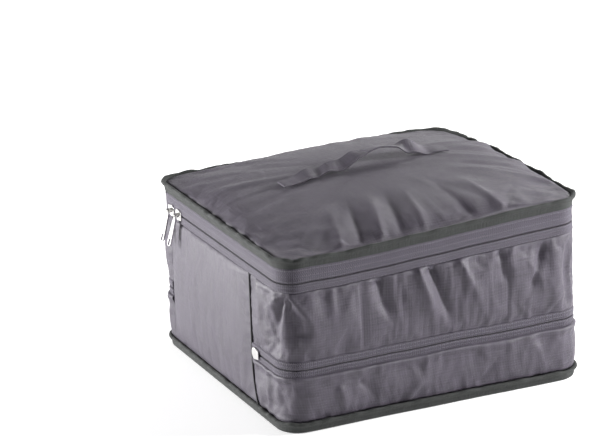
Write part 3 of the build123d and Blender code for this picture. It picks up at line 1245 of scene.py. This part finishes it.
@dataclass
class EndPanel(ClothPiece):
    """The full-height panel of the end wall, which bows like a pillow."""

    mesh_size: float = 1.8 * MM
    bulge: float = 5.5 * MM
    fine: float = 0.35 * MM
    pucker: float = 1.7 * MM
    welt: float = 1.5 * MM

    def build(self) -> None:
        """Makes the panel and its front seam, and bakes their transforms into their meshes."""
        form = self.form
        far = form.seams[1]
        low, high = form.wall_foot, form.lid_band[0]
        width, height = far - form.seams[0], high - low

        def shape(u: Array, v: Array) -> Array:
            """Lays the bowed panel between its seams.

            Args:
                u: First grid coordinate, from 0 to 1.
                v: Second grid coordinate, from 0 to 1.

            Returns:
                Positions, one row each.
            """
            level = low + v * height
            near = form.front_seam(level)
            y = far - u * (far - near)
            here = joined(np.zeros_like(y), y, level * 0.2)
            below = high - level
            fine = self.fine * ripple(here, 9 * MM, 2.0)
            fine = fine + self.pucker * (crests(here, 9 * MM, 6.0) - 0.5) * np.exp(-below / (10 * MM))
            bow = (np.sin(pi * u) * np.sin(pi * v)) ** 0.55
            tuck = 0.6 * MM + 0.9 * MM * (1 - step(0, 3 * MM, below))
            return joined(-form.half[0] + tuck - bow * (self.bulge + fine), y, level)

        across, up = round(width / self.mesh_size), round(height / self.mesh_size)
        obj = cloth_grid("end_panel_cloth", across, up, (width, height), shape)
        Drape(0.004, 0.5).relax(obj, border(across, up))
        thicken(obj, CLOTH_THICKNESS)
        self.dress(
            obj, self.wardrobe.ripstop, "ripstop", ("end_panel_lower", "end_panel_upper"), (width, height),
            "stretched", ("bottom_binding",),
        )
        self.bend(obj)
        self.seam_welt(low, high)

    def seam_welt(self, low: float, high: float) -> None:
        """Makes the folded edge that stands out along the front seam, in the dark thread colour, which also
        paints the seam's shade.

        Args:
            low: Height of its lower end.
            high: Height of its upper end.
        """
        form = self.form

        def shape(u: Array, v: Array) -> Array:
            """Lays the welt along the seam.

            Args:
                u: First grid coordinate, from 0 to 1.
                v: Second grid coordinate, from 0 to 1.

            Returns:
                Positions, one row each.
            """
            level = low + u * (high - low)
            angle = 2 * pi * v
            y = form.front_seam(level) + np.sin(angle) * self.welt / 2
            x, _, normal_x, _ = form.outline(form.place(y))
            return joined(x + normal_x * (0.2 * MM + np.cos(angle) * 0.55 * MM), y, level)

        obj = cloth_grid("front_seam_welt_and_shade", 60, 8, (high - low, 4 * MM), shape)
        weld(obj)
        # The welt's dark thread colour is partly a real welt and partly painted shade along the seam.
        self.dress(obj, self.wardrobe.thread, "binding")
        self.bend(obj)

    def bend(self, obj: bpy.types.Object) -> None:
        """Bakes a piece's transform into its mesh.

        Args:
            obj: The finished piece.
        """
        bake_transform(obj)


@dataclass
class Bindings(ClothPiece):
    """The folded tapes round the two rims."""

    thickness: float = 1.9 * MM
    mesh_size: float = 1.8 * MM
    section: int = 26
    narrow: float = 2.6 * MM
    groove: float = 0.42

    def skin(self, along: Array, share: Array, across: Array, low: float, high: float, seed: float) -> Array:
        """A point of a binding.

        Args:
            along: Distances along the outline.
            share: Height within the binding, from 0 to 1.
            across: Side of the tape, 1 outside and -1 inside.
            low: Height of the lower edge.
            high: Height of the upper edge.
            seed: Shifts the waviness.

        Returns:
            Positions, one row each.
        """
        form = self.form
        x, y, _, _ = form.outline(along)
        here = joined(x, y, np.zeros_like(x))
        wave = ripple(here, 13 * MM, seed) + 0.45 * ripple(here, 7 * MM, seed + 9)
        slow = ripple(here, 34 * MM, seed + 4)
        left = np.mod(along, form.perimeter)
        wild = 0.4 + 0.9 * swell(left, 0.75 * form.straights[0], 110 * MM)
        tuck = swell(left - form.straights[0], 24 * MM, 3 * MM)
        bead = swell(share, 0.8, 0.2)
        dent = swell(share, self.groove, 0.09)
        half_thick = self.thickness / 2 * (0.8 + 1.7 * bead - 0.8 * dent)
        lean = 1.2 * MM * share**2 - 0.8 * MM * (1 - share) - 1.4 * MM * tuck * share
        out = across * half_thick + lean + (2.4 * wave + 1.4 * slow) * MM * share * wild
        level = low + (high - low) * share + (2.4 * wave + 1.2 * slow - 1.6 * tuck) * MM * share * wild
        return form.surface(along, level, out)

    def ring(self, name: str, node: str, body: Body, low: float, high: float, seed: float) -> None:
        """Makes one closed binding and its stitches.

        Args:
            name: Name of the piece.
            node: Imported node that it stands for.
            body: Body that it rides on.
            low: Height of its lower edge.
            high: Height of its upper edge.
            seed: Shifts its waviness.
        """
        form = self.form

        def shape(u: Array, v: Array) -> Array:
            """Lays the tube of the tape along the rim.

            Args:
                u: First grid coordinate, from 0 to 1.
                v: Second grid coordinate, from 0 to 1.

            Returns:
                Positions, one row each.
            """
            side, top = np.cos(2 * pi * v), np.sin(2 * pi * v)
            across = np.sign(side) * np.abs(side) ** 0.45
            share = 0.5 + 0.5 * np.sign(top) * np.abs(top) ** 0.6
            return self.skin(u * form.perimeter, share, across, low, high, seed)

        size = (form.perimeter, 2 * (high - low))
        obj = cloth_grid(name, round(form.perimeter / self.mesh_size), self.section, size, shape)
        weld(obj)
        self.dress(obj, self.wardrobe.binding, "binding", (node,))
        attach(obj, body.value)

        def spot(along: Array) -> Array:
            """Puts a stitch in the binding's groove."""
            return self.skin(along, np.full_like(along, self.groove), np.ones_like(along), low, high, seed)

        seams = Seams(form, self.wardrobe)
        seams.around(f"{name}_stitches", body, (0.0, form.perimeter), spot, 0.1 * MM, self.wardrobe.thread)

    def build(self) -> None:
        """Makes both bindings."""
        form = self.form
        self.ring("bottom_trim", "bottom_binding", Body.BASE, 0.6 * MM, form.floor_rim - self.narrow, 1.0)
        self.ring("lid_trim", "lid_binding", Body.LID, form.rim[0] + self.narrow, form.rim[1], 7.0)


def rim_spot(form: CubeForm, u: Array, v: Array, inset: float) -> tuple[Array, Array, Array]:
    """Maps a square grid into the rounded outline, ring by ring.

    Args:
        form: The cube's form.
        u: First grid coordinate, from 0 to 1.
        v: Second grid coordinate, from 0 to 1.
        inset: Distance of the outer ring inside the outline.

    Returns:
        x and y, the distance along the outline, and the ring from 0 at the middle to 1 at the rim.
    """
    a, b = 2 * u - 1, 2 * v - 1
    ring = np.maximum(np.abs(a), np.abs(b))
    safe = np.where(ring < 1e-9, 1, ring)
    a, b = a / safe, b / safe
    quarter = pi * form.radius / 4
    along_y, along_x = form.straights
    reach_y, reach_x = along_y + 2 * quarter, along_x + 2 * quarter
    half_way = along_y + along_x + 3 * quarter
    start = [-quarter, along_y + quarter, half_way, 2 * along_y + along_x + 5 * quarter]
    edges = [a <= -1 + 1e-6, b <= -1 + 1e-6, a >= 1 - 1e-6]
    runs = [
        start[0] + (1 - b) / 2 * reach_y,
        start[1] + (1 + a) / 2 * reach_x,
        start[2] + (1 + b) / 2 * reach_y,
    ]
    along = np.select(edges, runs, start[3] + (1 - a) / 2 * reach_x)
    x, y, _, _ = form.outline(along, -inset)
    return joined(x * ring, y * ring), along, ring


@dataclass
class LidPanel(ClothPiece):
    """The crowned top panel."""

    mesh_size: float = 2.1 * MM
    depth: float = 2.6 * MM
    inset: float = 1.2 * MM
    short: float = 1.2 * MM
    wide: float = 2.6 * MM
    cross: float = 2.0 * MM

    def folds(self, along: Array, ring: Array, spot: Array) -> Array:
        """Soft folds that run in from the rim, and a few that cross the far corner.

        Args:
            along: Distances along the outline.
            ring: Ring of each point, 1 at the rim.
            spot: x and y of each point.

        Returns:
            Height of the folds over the cloth.
        """
        inward = (1 - ring) * self.form.half[1]
        flat = joined(along, inward * 0.18, np.zeros_like(along))
        rim = step(0, 7 * MM, inward)
        patchy = step(-0.25, 0.45, ripple(joined(along, 0 * ring, 0 * ring), 60 * MM, 31.0))
        plain = step(-self.form.half[0], -0.75 * self.form.half[0], spot[:, 0])
        short = self.short * (crests(flat, 17 * MM, 11.0) - 0.45) * rim * np.exp(-inward / (18 * MM)) * plain
        wide = self.wide * ripple(flat, 26 * MM, 15.0) * rim * swell(inward, 25 * MM, 38 * MM)
        short, wide = short * (0.4 + 0.6 * patchy), wide * (0.25 + 0.75 * patchy) * (0.35 + 0.65 * plain)
        far = step(0.1 * self.form.half[0], 0.9 * self.form.half[0], spot[:, 0])
        slanted = joined(spot[:, 0] * 0.35 + spot[:, 1] * 1.0, spot[:, 0] * 0.25, 0 * ring)
        across = self.cross * ripple(slanted, 15 * MM, 21.0) * far * rim * (1 - step(0.3, 1.0, 1 - ring))
        hand = sum(fold.height(spot[:, 0], spot[:, 1]) for fold in self.laid())
        return short + wide + across + hand * rim

    def laid(self) -> list[Fold]:
        """Large folds listed in x and y: a fan at the front edge, and pleats to the far corner.

        Returns:
            The folds.
        """
        edge, end = -self.form.half[1], self.form.half[0]
        fan = (
            (-84, -62, 2.4), (-66, -44, -2.4), (-46, -26, 2.6), (-28, -12, -2.2), (-6, 4, 1.8),
            (40, 30, -1.8), (70, 52, 2.0),
        )
        far = ((-92, -40, 2.6), (-70, -22, -2.4), (-46, -6, 2.4), (-14, 10, -1.8), (24, 20, 1.8))
        folds = [
            Fold((x * MM, edge), (inner * MM, edge + 78 * MM), 8 * MM, lift * MM) for x, inner, lift in fan
        ]
        return folds + [
            Fold((end, y * MM), (end - 88 * MM, inner * MM), 7 * MM, lift * MM) for y, inner, lift in far
        ]

    def build(self) -> bpy.types.Object:
        """Makes the panel, stuffed from below.

        Returns:
            The finished panel.
        """
        form = self.form
        edge_height = form.rim[1] - self.depth
        crown = form.crown - edge_height - 4 * MM

        def shape(u: Array, v: Array) -> Array:
            """Lays the crowned panel inside the rim.

            Args:
                u: First grid coordinate, from 0 to 1.
                v: Second grid coordinate, from 0 to 1.

            Returns:
                Positions, one row each.
            """
            spot, _, _ = rim_spot(form, u, v, self.inset)
            dome = (1 - (2 * u - 1) ** 2) * (1 - (2 * v - 1) ** 2)
            level = edge_height + crown * dome**0.6
            level = level + form.rise(spot[:, 0], spot[:, 1], np.full_like(level, form.rim[1]))
            return joined(spot[:, 0], spot[:, 1], level)

        size = (2 * form.half[0], 2 * form.half[1])
        across, up = round(size[0] / self.mesh_size), round(size[1] / self.mesh_size)
        obj = cloth_grid("lid_panel_cloth", across, up, size, shape)
        Drape(0.004, 0.35).relax(obj, border(across, up))
        columns, rows = grid_places(across, up)
        spot, along, ring = rim_spot(form, columns, rows, self.inset)
        place_points(obj, points_of(obj) + normals_of(obj) * self.folds(along, ring, spot)[:, None])
        thicken(obj, CLOTH_THICKNESS)
        self.dress(obj, self.wardrobe.ripstop, "ripstop", ("lid_panel",), size, "stretched", ("lid_trim",))
        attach(obj, Body.LID.value)
        return obj


@dataclass
class FloorPanel(ClothPiece):
    """The flat panel that the cube stands on."""

    mesh_size: float = 5 * MM

    def build(self) -> None:
        """Makes the panel, a little wavy between its edges."""
        form = self.form

        def shape(u: Array, v: Array) -> Array:
            """Lays the floor inside the outline.

            Args:
                u: First grid coordinate, from 0 to 1.
                v: Second grid coordinate, from 0 to 1.

            Returns:
                Positions, one row each.
            """
            spot, _, ring = rim_spot(form, 1 - u, v, 1.4 * MM)
            wave = ripple(joined(spot[:, 0], spot[:, 1], 0 * ring), 45 * MM, 3.0)
            return joined(spot[:, 0], spot[:, 1], (1.0 + 0.5 * wave * (1 - ring)) * MM)

        size = (2 * form.half[0], 2 * form.half[1])
        obj = cloth_grid("floor_panel_cloth", round(size[0] / self.mesh_size), 50, size, shape)
        thicken(obj, CLOTH_THICKNESS)
        self.dress(
            obj, self.wardrobe.ripstop, "ripstop", ("bottom_panel",), size, "stretched", ("bottom_trim",)
        )
        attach(obj, Body.BASE.value)


@dataclass
class Zippers(ClothPiece):
    """The tapes of both zippers, with their coils and stitches."""

    mesh_size: float = 2.0 * MM
    tape: float = 0.7 * MM
    sewn: float = 4.2 * MM
    slit: float = 0.35 * MM
    pitch: float = 2.2 * MM
    stitch_rows: tuple[float, ...] = (0.16, 0.46, 0.9)
    tooth: tuple[float, float, float] = (0.85 * MM, 2.6 * MM, 1.3 * MM)

    def skin(self, along: Array, level: Array, chain: float, outer: float) -> Array:
        """A point on the outer face of a tape.

        Args:
            along: Distances along the outline.
            level: Heights.
            chain: Height of the chain.
            outer: Height of the sewn edge.

        Returns:
            Positions, one row each.
        """
        from_chain = np.abs(level - chain)
        width = abs(outer - chain)
        ridge = 0.55 * MM * swell(from_chain, 2.4 * MM, 1.5 * MM)
        dip = -0.6 * MM * swell(from_chain, 0.0, 0.8 * MM)
        hidden = step(width, width + 1.5 * MM, from_chain)
        edge = 0.7 * MM * swell(from_chain - width, -1.2 * MM, 1.6 * MM)
        return self.form.surface(along, level, ridge + dip + edge - 0.3 * MM - 1.8 * MM * hidden)

    def tape_strip(
        self, name: str, node: str, body: Body, span: tuple[float, float], chain: float, outer: float
    ) -> None:
        """Makes one tape, from its sewn edge to the chain, with its stitches.

        Args:
            name: Name of the piece.
            node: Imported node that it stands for.
            body: Body that it rides on.
            span: Start and end along the outline.
            chain: Height of the chain.
            outer: Height of the sewn edge.
        """
        start, end = span
        side = 1 if outer > chain else -1
        low, high = sorted((outer + side * self.sewn, chain + side * self.slit))
        length, width = end - start, high - low

        def shape(u: Array, v: Array) -> Array:
            """Lays the tape on the outline."""
            return self.skin(start + u * length, low + v * width, chain, outer)

        obj = cloth_grid(f"{name}_tape", round(length / self.mesh_size), 16, (length, width), shape)
        thicken(obj, self.tape)
        self.dress(
            obj, self.wardrobe.tape, "zipper_tape", (node,), (length, width), "stretched",
            ("upper_wall_cloth",),
        )
        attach(obj, body.value)
        seams = Seams(self.form, self.wardrobe)
        thread = self.wardrobe.tape_thread
        for number, share in enumerate(self.stitch_rows):
            level = chain + (outer - chain) * share

            def spot(along: Array, level: float = level) -> Array:
                """Puts a stitch on the tape."""
                return self.skin(along, np.full_like(along, level), chain, outer)

            reach = (start + 2 * MM, end - 2 * MM)
            seams.around(f"{name}_stitches_{number + 1}", body, reach, spot, 0.12 * MM, thread)

    def coil(
        self, name: str, node: str, body: Body, span: tuple[float, float], chain: float, side: int
    ) -> None:
        """Makes one half of a coil behind the tapes.

        Args:
            name: Name of the piece.
            node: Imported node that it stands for.
            body: Body that it rides on.
            span: Start and end along the outline.
            chain: Height of the chain.
            side: 1 for the upper half and -1 for the lower one.
        """
        start, end = span
        count = round((end - start) / self.pitch)
        along = np.linspace(start, end, count + 1) + (0.25 * side * self.pitch)
        level = np.full_like(along, chain + side * 0.55 * MM)
        outward = self.form.outward(along)
        places = self.form.surface(along, level, -1.5 * MM)
        obj = Row.tooth(*self.tooth).lay(name, places, outward)
        self.dress(obj, self.wardrobe.coil, "coil", (node,))
        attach(obj, body.value)

    def build(self) -> None:
        """Makes the four tapes and the four halves of the coils."""
        form = self.form
        for zipper, span, band, bodies in (
            ("expansion_zip", form.wall_span, form.expansion, (Body.BASE, Body.UPPER)),
            ("lid_zip", (0.0, form.zip_end), form.lid_band, (Body.UPPER, Body.LID)),
        ):
            halves = (("lower", bodies[0], band[0], -1), ("upper", bodies[1], band[2], 1))
            for half, body, outer, side in halves:
                if body is Body.LID:
                    outer += Bindings.narrow
                self.tape_strip(f"{zipper}_{half}", f"{zipper}_tape_{half}", body, span, band[1], outer)
                self.coil(f"{zipper}_{half}_coil", f"{zipper}_coil_{half}", body, span, band[1], side)


@dataclass
class Lining(ClothPiece):
    """The pieces that show when the cube is open: back strip, gusset and seam tapes."""

    short: float = 4 * MM
    pleats: int = 3
    pleat_depth: float = 7 * MM
    behind: float = 3.4 * MM

    def back_strip(self) -> None:
        """Makes the strip that joins the lid to the wall at the back, where the lid hinges."""
        form = self.form
        low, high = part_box("back_strip")
        start = form.zip_end
        length, height = form.perimeter - start, high.z - low.z + 2 * MM

        def shape(u: Array, v: Array) -> Array:
            """Lays the strip along the back.

            Args:
                u: First grid coordinate, from 0 to 1.
                v: Second grid coordinate, from 0 to 1.

            Returns:
                Positions, one row each.
            """
            level = low.z - 1 * MM + v * height
            along = start + u * length
            here = joined(along, level * 0.3, 0 * level)
            out = -0.3 * MM + (0.5 * ripple(here, 14 * MM, 5.0) - 0.4) * MM * np.sin(pi * v)
            return form.surface(along, level, out)

        obj = cloth_grid("back_strip_cloth", 150, 16, (length, height), shape)
        thicken(obj, CLOTH_THICKNESS)
        self.dress(
            obj, self.wardrobe.ripstop, "ripstop", ("back_strip",), (length, height), "stretched",
            ("upper_wall",),
        )
        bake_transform(obj)

    def gusset(self) -> None:
        """Makes the pleated cloth behind the expansion zipper."""
        form = self.form
        low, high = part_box("expansion_gusset")
        start, end = form.wall_span[0] + self.short, form.wall_span[1] - self.short
        height, pleats, depth = high.z - low.z, self.pleats, self.pleat_depth
        drop = float(np.hypot(2 * depth * pleats, height))

        def shape(u: Array, v: Array) -> Array:
            """Lays the pleats behind the zipper.

            Args:
                u: First grid coordinate, from 0 to 1.
                v: Second grid coordinate, from 0 to 1.

            Returns:
                Positions, one row each.
            """
            fold = np.abs(np.mod(v * pleats + 0.5, 1) - 0.5) * 2
            along = start + u * (end - start)
            x, y, normal_x, normal_y = form.outline(along, -self.behind)
            closed = [np.sin(pi * np.clip(share * 40, 0, 0.5)) for share in (u, 1 - u)]
            inward = depth * (1 - fold) * closed[0] * closed[1]
            level = low.z + v * height
            return joined(x - inward * normal_x, y - inward * normal_y, level)

        obj = cloth_grid("gusset_cloth", 260, 24, (end - start, drop), shape)
        thicken(obj, CLOTH_THICKNESS)
        self.dress(
            obj, self.wardrobe.ripstop, "ripstop", ("expansion_gusset",), (end - start, drop), "folded",
            ("lower_wall",),
        )
        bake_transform(obj)

    def seam_tapes(self) -> None:
        """Makes the tapes that bind the inner side of the end wall's seams."""
        for corner, body in (
            ("front_seam_tape_lower", Body.BASE),
            ("rear_seam_tape_lower", Body.BASE),
            ("front_seam_tape_upper", Body.UPPER),
            ("rear_seam_tape_upper", Body.UPPER),
        ):
            low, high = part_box(corner)
            size = (high.z - low.z, high.y - low.y + 0.6 * MM)

            def shape(u: Array, v: Array, low: Vector = low, size: tuple[float, float] = size) -> Array:
                """Lays one tape on the inside of the end wall.

                Args:
                    u: First grid coordinate, from 0 to 1.
                    v: Second grid coordinate, from 0 to 1.
                    low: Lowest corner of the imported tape.
                    size: Length and width of the tape.

                Returns:
                    Positions, one row each.
                """
                level, y = low.z + u * size[0], low.y + v * size[1]
                here = joined(0 * y, y, level)
                return joined(low.x + (0.5 + 0.2 * ripple(here, 12 * MM, 1.0)) * MM, y, level)

            obj = cloth_grid(f"{corner}_cloth", 30, 8, size, shape)
            thicken(obj, 0.3 * MM)
            self.dress(
                obj, self.wardrobe.binding, "binding", (corner,), size, "stretched", ("end_panel_cloth",)
            )
            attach(obj, body.value)

    def build(self) -> None:
        """Makes all of them."""
        self.back_strip()
        self.gusset()
        self.seam_tapes()


@dataclass
class GrabStrap(ClothPiece):
    """The narrow folded strap on the lid, in two halves that meet at its middle."""

    lid: bpy.types.Object
    width: float = 16.5 * MM
    thickness: float = 1.7 * MM
    lift: list[tuple[float, float]] = field(
        default_factory=lambda: [
            (0.0, 0.7 * MM), (0.1, 0.9 * MM), (0.16, 2.6 * MM), (0.22, 1.4 * MM), (0.29, 4.2 * MM),
            (0.35, 3.4 * MM), (0.46, 9.0 * MM), (0.58, 11.0 * MM), (0.7, 8.5 * MM), (0.77, 7.5 * MM),
            (0.88, 1.6 * MM), (1.0, 0.7 * MM),
        ]
    )
    roll: list[tuple[float, float]] = field(
        default_factory=lambda: [
            (0.0, 0.0), (0.1, 3.0), (0.18, 14.0), (0.25, 3.0), (0.33, 17.0), (0.42, 8.0), (0.54, -11.0),
            (0.68, -15.0), (0.76, 32.0), (0.84, 20.0), (0.92, 3.0), (1.0, 0.0),
        ]
    )
    sway: list[tuple[float, float]] = field(
        default_factory=lambda: [
            (0.0, 0.0), (0.2, 1.5 * MM), (0.35, -1.0 * MM), (0.6, 2.0 * MM), (0.8, -2.0 * MM), (1.0, 0)
        ]
    )
    stitch_line: float = 0.36
    free_from: tuple[float, float] = (68 * MM, 50 * MM)
    sewn_inside: float = 2 * MM

    def line(self, share: Array) -> Array:
        """Centre line of the strap over the lid.

        Args:
            share: Places along the strap, from 0 at its left end to 1.

        Returns:
            Positions, one row each.
        """
        left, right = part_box("strap_end_left")[0].x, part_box("strap_end_right")[1].x
        x = left + share * (right - left)
        y = through(self.sway, share)
        edges = [[self.ground(float(a), float(b) + shift) for a, b in zip(x, y)] for shift in self.feelers]
        ground = np.pad(np.max(edges, axis=0), 9, mode="edge")
        highest = np.max([np.roll(ground, shift) for shift in range(-3, 4)], axis=0)[3:-3]
        steady = np.convolve(highest, np.ones(13) / 13, mode="valid")
        return joined(x, y, steady + through(self.lift, share) + self.thickness / 2)

    def ground(self, x: float, y: float) -> float:
        """Height of the lid's cloth under a point."""
        hit, place, _, _ = self.lid.ray_cast(Vector((x, y, 1.0)), Vector((0, 0, -1)))
        return place.z if hit else self.form.crown

    def half(self, name: str, first: float, last: float, sewn: str, inner: float, hinge: float) -> None:
        """Makes one half of the strap with its stitches.

        Args:
            name: Name of the piece.
            first: Where the half starts along the strap.
            last: Where it ends.
            sewn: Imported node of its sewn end.
            inner: x where it has left the lid.
            hinge: x where its sewn end stops.
        """
        count = 90
        stations = np.linspace(first, last, count + 1)
        line = self.line(stations)
        ahead = unit(np.gradient(line, axis=0))
        side = unit(np.cross(np.array([0.0, 0.0, 1.0]), ahead))
        up = np.cross(ahead, side)
        turn = np.radians(through(self.roll, stations))[:, None]
        side, up = side * np.cos(turn) + up * np.sin(turn), up * np.cos(turn) - side * np.sin(turn)

        def shape(u: Array, v: Array) -> Array:
            """Lays the flattened tube along the strap's line.

            Args:
                u: First grid coordinate, from 0 to 1.
                v: Second grid coordinate, from 0 to 1.

            Returns:
                Positions, one row each.
            """
            place = np.clip(np.rint(u * count).astype(int), 0, count)
            cosine, sine = np.cos(2 * pi * v), np.sin(2 * pi * v)
            aside = np.sign(cosine) * np.abs(cosine) ** 0.3 * self.width / 2
            edge = swell(np.abs(aside), self.stitch_line * self.width, 0.07 * self.width)
            wave = ripple(joined(u * 80 * MM, aside, 0 * u), 5 * MM, first)
            thick = self.thickness / 2 * (1 - 0.35 * edge + 0.35 * wave)
            away = -np.sign(sine) * np.abs(sine) ** 0.5 * thick
            ends = np.minimum(step(-0.01, 0.02, u), step(-0.01, 0.02, 1 - u))
            return line[place] + side[place] * aside[:, None] + up[place] * (away * ends)[:, None]

        length = (last - first) * (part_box("strap_end_right")[1].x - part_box("strap_end_left")[0].x)
        obj = cloth_grid(name, count, 28, (length, 2 * self.width), shape)
        self.close_ends(obj)
        self.dress(obj, self.wardrobe.ripstop, "ripstop", ("strap", sewn))
        self.swing(obj, inner, hinge)
        proud = self.thickness * 0.36
        for edge in (-1, 1):
            places = line + side * (edge * self.stitch_line * self.width) + up * proud
            stitch = Row.stitch(1.6 * MM, self.thread_width)
            row = stitch.lay(f"{name}_stitches_{'ab'[edge > 0]}", places[::2], up[::2])
            self.dress(row, self.wardrobe.tape_thread, "binding")
            self.swing(row, inner, hinge)

    @property
    def feelers(self) -> tuple[float, float, float]:
        """Where the lid is felt for, across the strap's width."""
        return -self.width / 2, 0.0, self.width / 2

    @property
    def thread_width(self) -> float:
        """Thickness of the sewing thread."""
        return 0.5 * MM

    @staticmethod
    def close_ends(obj: bpy.types.Object) -> None:
        """Welds the tube's seam and fills its two ends.

        Args:
            obj: The tube.
        """
        weld(obj)
        bpy.ops.object.mode_set(mode="EDIT")
        bpy.ops.mesh.select_all(action="DESELECT")
        bpy.ops.mesh.select_non_manifold()
        bpy.ops.mesh.edge_face_add()
        bpy.ops.mesh.select_all(action="SELECT")
        bpy.ops.mesh.normals_make_consistent(inside=False)
        bpy.ops.object.mode_set(mode="OBJECT")

    def swing(self, obj: bpy.types.Object, inner: float, hinge: float) -> None:
        """Bakes a piece's transform into its mesh.

        Args:
            obj: The finished piece.
            inner: x where it has left the lid; not used.
            hinge: x where its sewn end stops; not used.
        """
        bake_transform(obj)

    def build(self) -> None:
        """Makes both halves."""
        left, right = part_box("strap_end_left")[1].x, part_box("strap_end_right")[0].x
        inner = (left + self.free_from[0], right - self.free_from[1])
        self.half("strap_left", 0.0, 0.5, "strap_end_left", inner[0], left - self.sewn_inside)
        self.half("strap_right", 0.5, 1.0, "strap_end_right", inner[1], right + self.sewn_inside)


# ---------------------------------------------------------------- studio
@dataclass(frozen=True)
class Lamp:
    """A soft area light that looks at the cube."""

    name: str
    place: tuple[float, float, float]
    size: float
    power: float

    def add(self, aim: Vector) -> None:
        """Adds the light.

        Args:
            aim: The point that it looks at.
        """
        light = bpy.data.lights.new(self.name, "AREA")
        light.energy, light.size = self.power, self.size
        lamp = bpy.data.objects.new(self.name, light)
        lamp.location = self.place
        lamp.rotation_euler = (aim - Vector(self.place)).to_track_quat("-Z", "Y").to_euler()
        bpy.context.scene.collection.objects.link(lamp)


@dataclass(frozen=True)
class Studio:
    """Pale floor, soft light and the camera."""

    azimuth: float = -25.12
    elevation: float = 19.41
    roll: float = -1.6
    distance: float = 2.8
    lens: float = 194.0
    shift: tuple[float, float] = (-0.118, 0.083)
    aim: tuple[float, float, float] = (0.0, 0.0, 0.08)
    sky: float = 0.2
    glow: float = 0.3
    floor_size: float = 40.0
    paper: tuple[float, float, float, float] = (0.95, 0.95, 0.95, 1.0)
    sensor: float = 36.0
    lamps: tuple[Lamp, ...] = (
        Lamp("key", (-1.7, 1.05, 0.42), 0.6, 88.0),
        Lamp("top", (1.5, 1.2, 1.2), 0.8, 18.0),
        Lamp("front", (1.03, -0.56, 0.58), 0.28, 30.0),
    )

    def build(self) -> None:
        """Adds everything that is not part of the cube."""
        deselect()
        bpy.ops.mesh.primitive_plane_add(size=self.floor_size)
        floor = bpy.context.object
        floor.name = "floor"
        paper = Shade("floor_paper", 0.9)
        paper.shader.inputs["Base Color"].default_value = self.paper
        paper.shader.inputs["Emission Color"].default_value = (1, 1, 1, 1)
        paper.shader.inputs["Emission Strength"].default_value = self.glow
        floor.data.materials.append(paper.material)
        scene = bpy.context.scene
        scene.view_settings.view_transform = "Standard"
        scene.world = scene.world or bpy.data.worlds.new("studio")
        self.light_world(scene.world)
        for lamp in self.lamps:
            lamp.add(Vector(self.aim))
        azimuth, elevation = radians(self.azimuth), radians(self.elevation)
        view = Vector((-sin(azimuth) * cos(elevation), cos(azimuth) * cos(elevation), -sin(elevation)))
        camera = bpy.data.cameras.new("camera")
        camera.lens, camera.sensor_width = self.lens, self.sensor
        camera.shift_x, camera.shift_y = self.shift
        holder = bpy.data.objects.new("camera", camera)
        holder.location = Vector(self.aim) - view * self.distance
        right = view.cross(Vector((0, 0, 1))).normalized()
        above = right.cross(view)
        roll = radians(self.roll)
        side, top = right * cos(roll) + above * sin(roll), above * cos(roll) - right * sin(roll)
        holder.rotation_euler = Matrix((side, top, -view)).transposed().to_euler()
        scene.collection.objects.link(holder)
        scene.camera = holder

    def light_world(self, world: bpy.types.World) -> None:
        """Makes a white backdrop that lights the cube only softly.

        Args:
            world: The scene's world.
        """
        world.use_nodes = True
        tree = world.node_tree
        soft = tree.nodes["Background"]
        soft.inputs["Color"].default_value = (1, 1, 1, 1)
        soft.inputs["Strength"].default_value = self.sky
        white = tree.nodes.new("ShaderNodeBackground")
        white.inputs["Strength"].default_value = 1.0
        path, mix = tree.nodes.new("ShaderNodeLightPath"), tree.nodes.new("ShaderNodeMixShader")
        tree.links.new(path.outputs["Is Camera Ray"], mix.inputs[0])
        tree.links.new(soft.outputs[0], mix.inputs[1])
        tree.links.new(white.outputs[0], mix.inputs[2])
        tree.links.new(mix.outputs[0], tree.nodes["World Output"].inputs["Surface"])


def polish_hardware(wardrobe: Wardrobe) -> None:
    """Gives the sliders and pullers their metal.

    Args:
        wardrobe: The cube's materials.
    """
    for name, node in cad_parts.items():
        if "slider" in name or "puller" in name:
            node.data.materials.clear()
            node.data.materials.append(wardrobe.nickel)


def main() -> None:
    """Builds the cube's visible pieces in order."""
    logging.basicConfig(level=logging.INFO, format="%(message)s")
    form, wardrobe = CubeForm(), Wardrobe()
    Studio().build()
    lid = LidPanel(form, wardrobe).build()
    GrabStrap(form, wardrobe, lid).build()
    Bindings(form, wardrobe).build()
    Zippers(form, wardrobe).build()
    EndPanel(form, wardrobe).build()
    WallPanels(form, wardrobe).build()
    Lining(form, wardrobe).build()
    FloorPanel(form, wardrobe).build()
    polish_hardware(wardrobe)


if __name__ == "__main__":
    main()
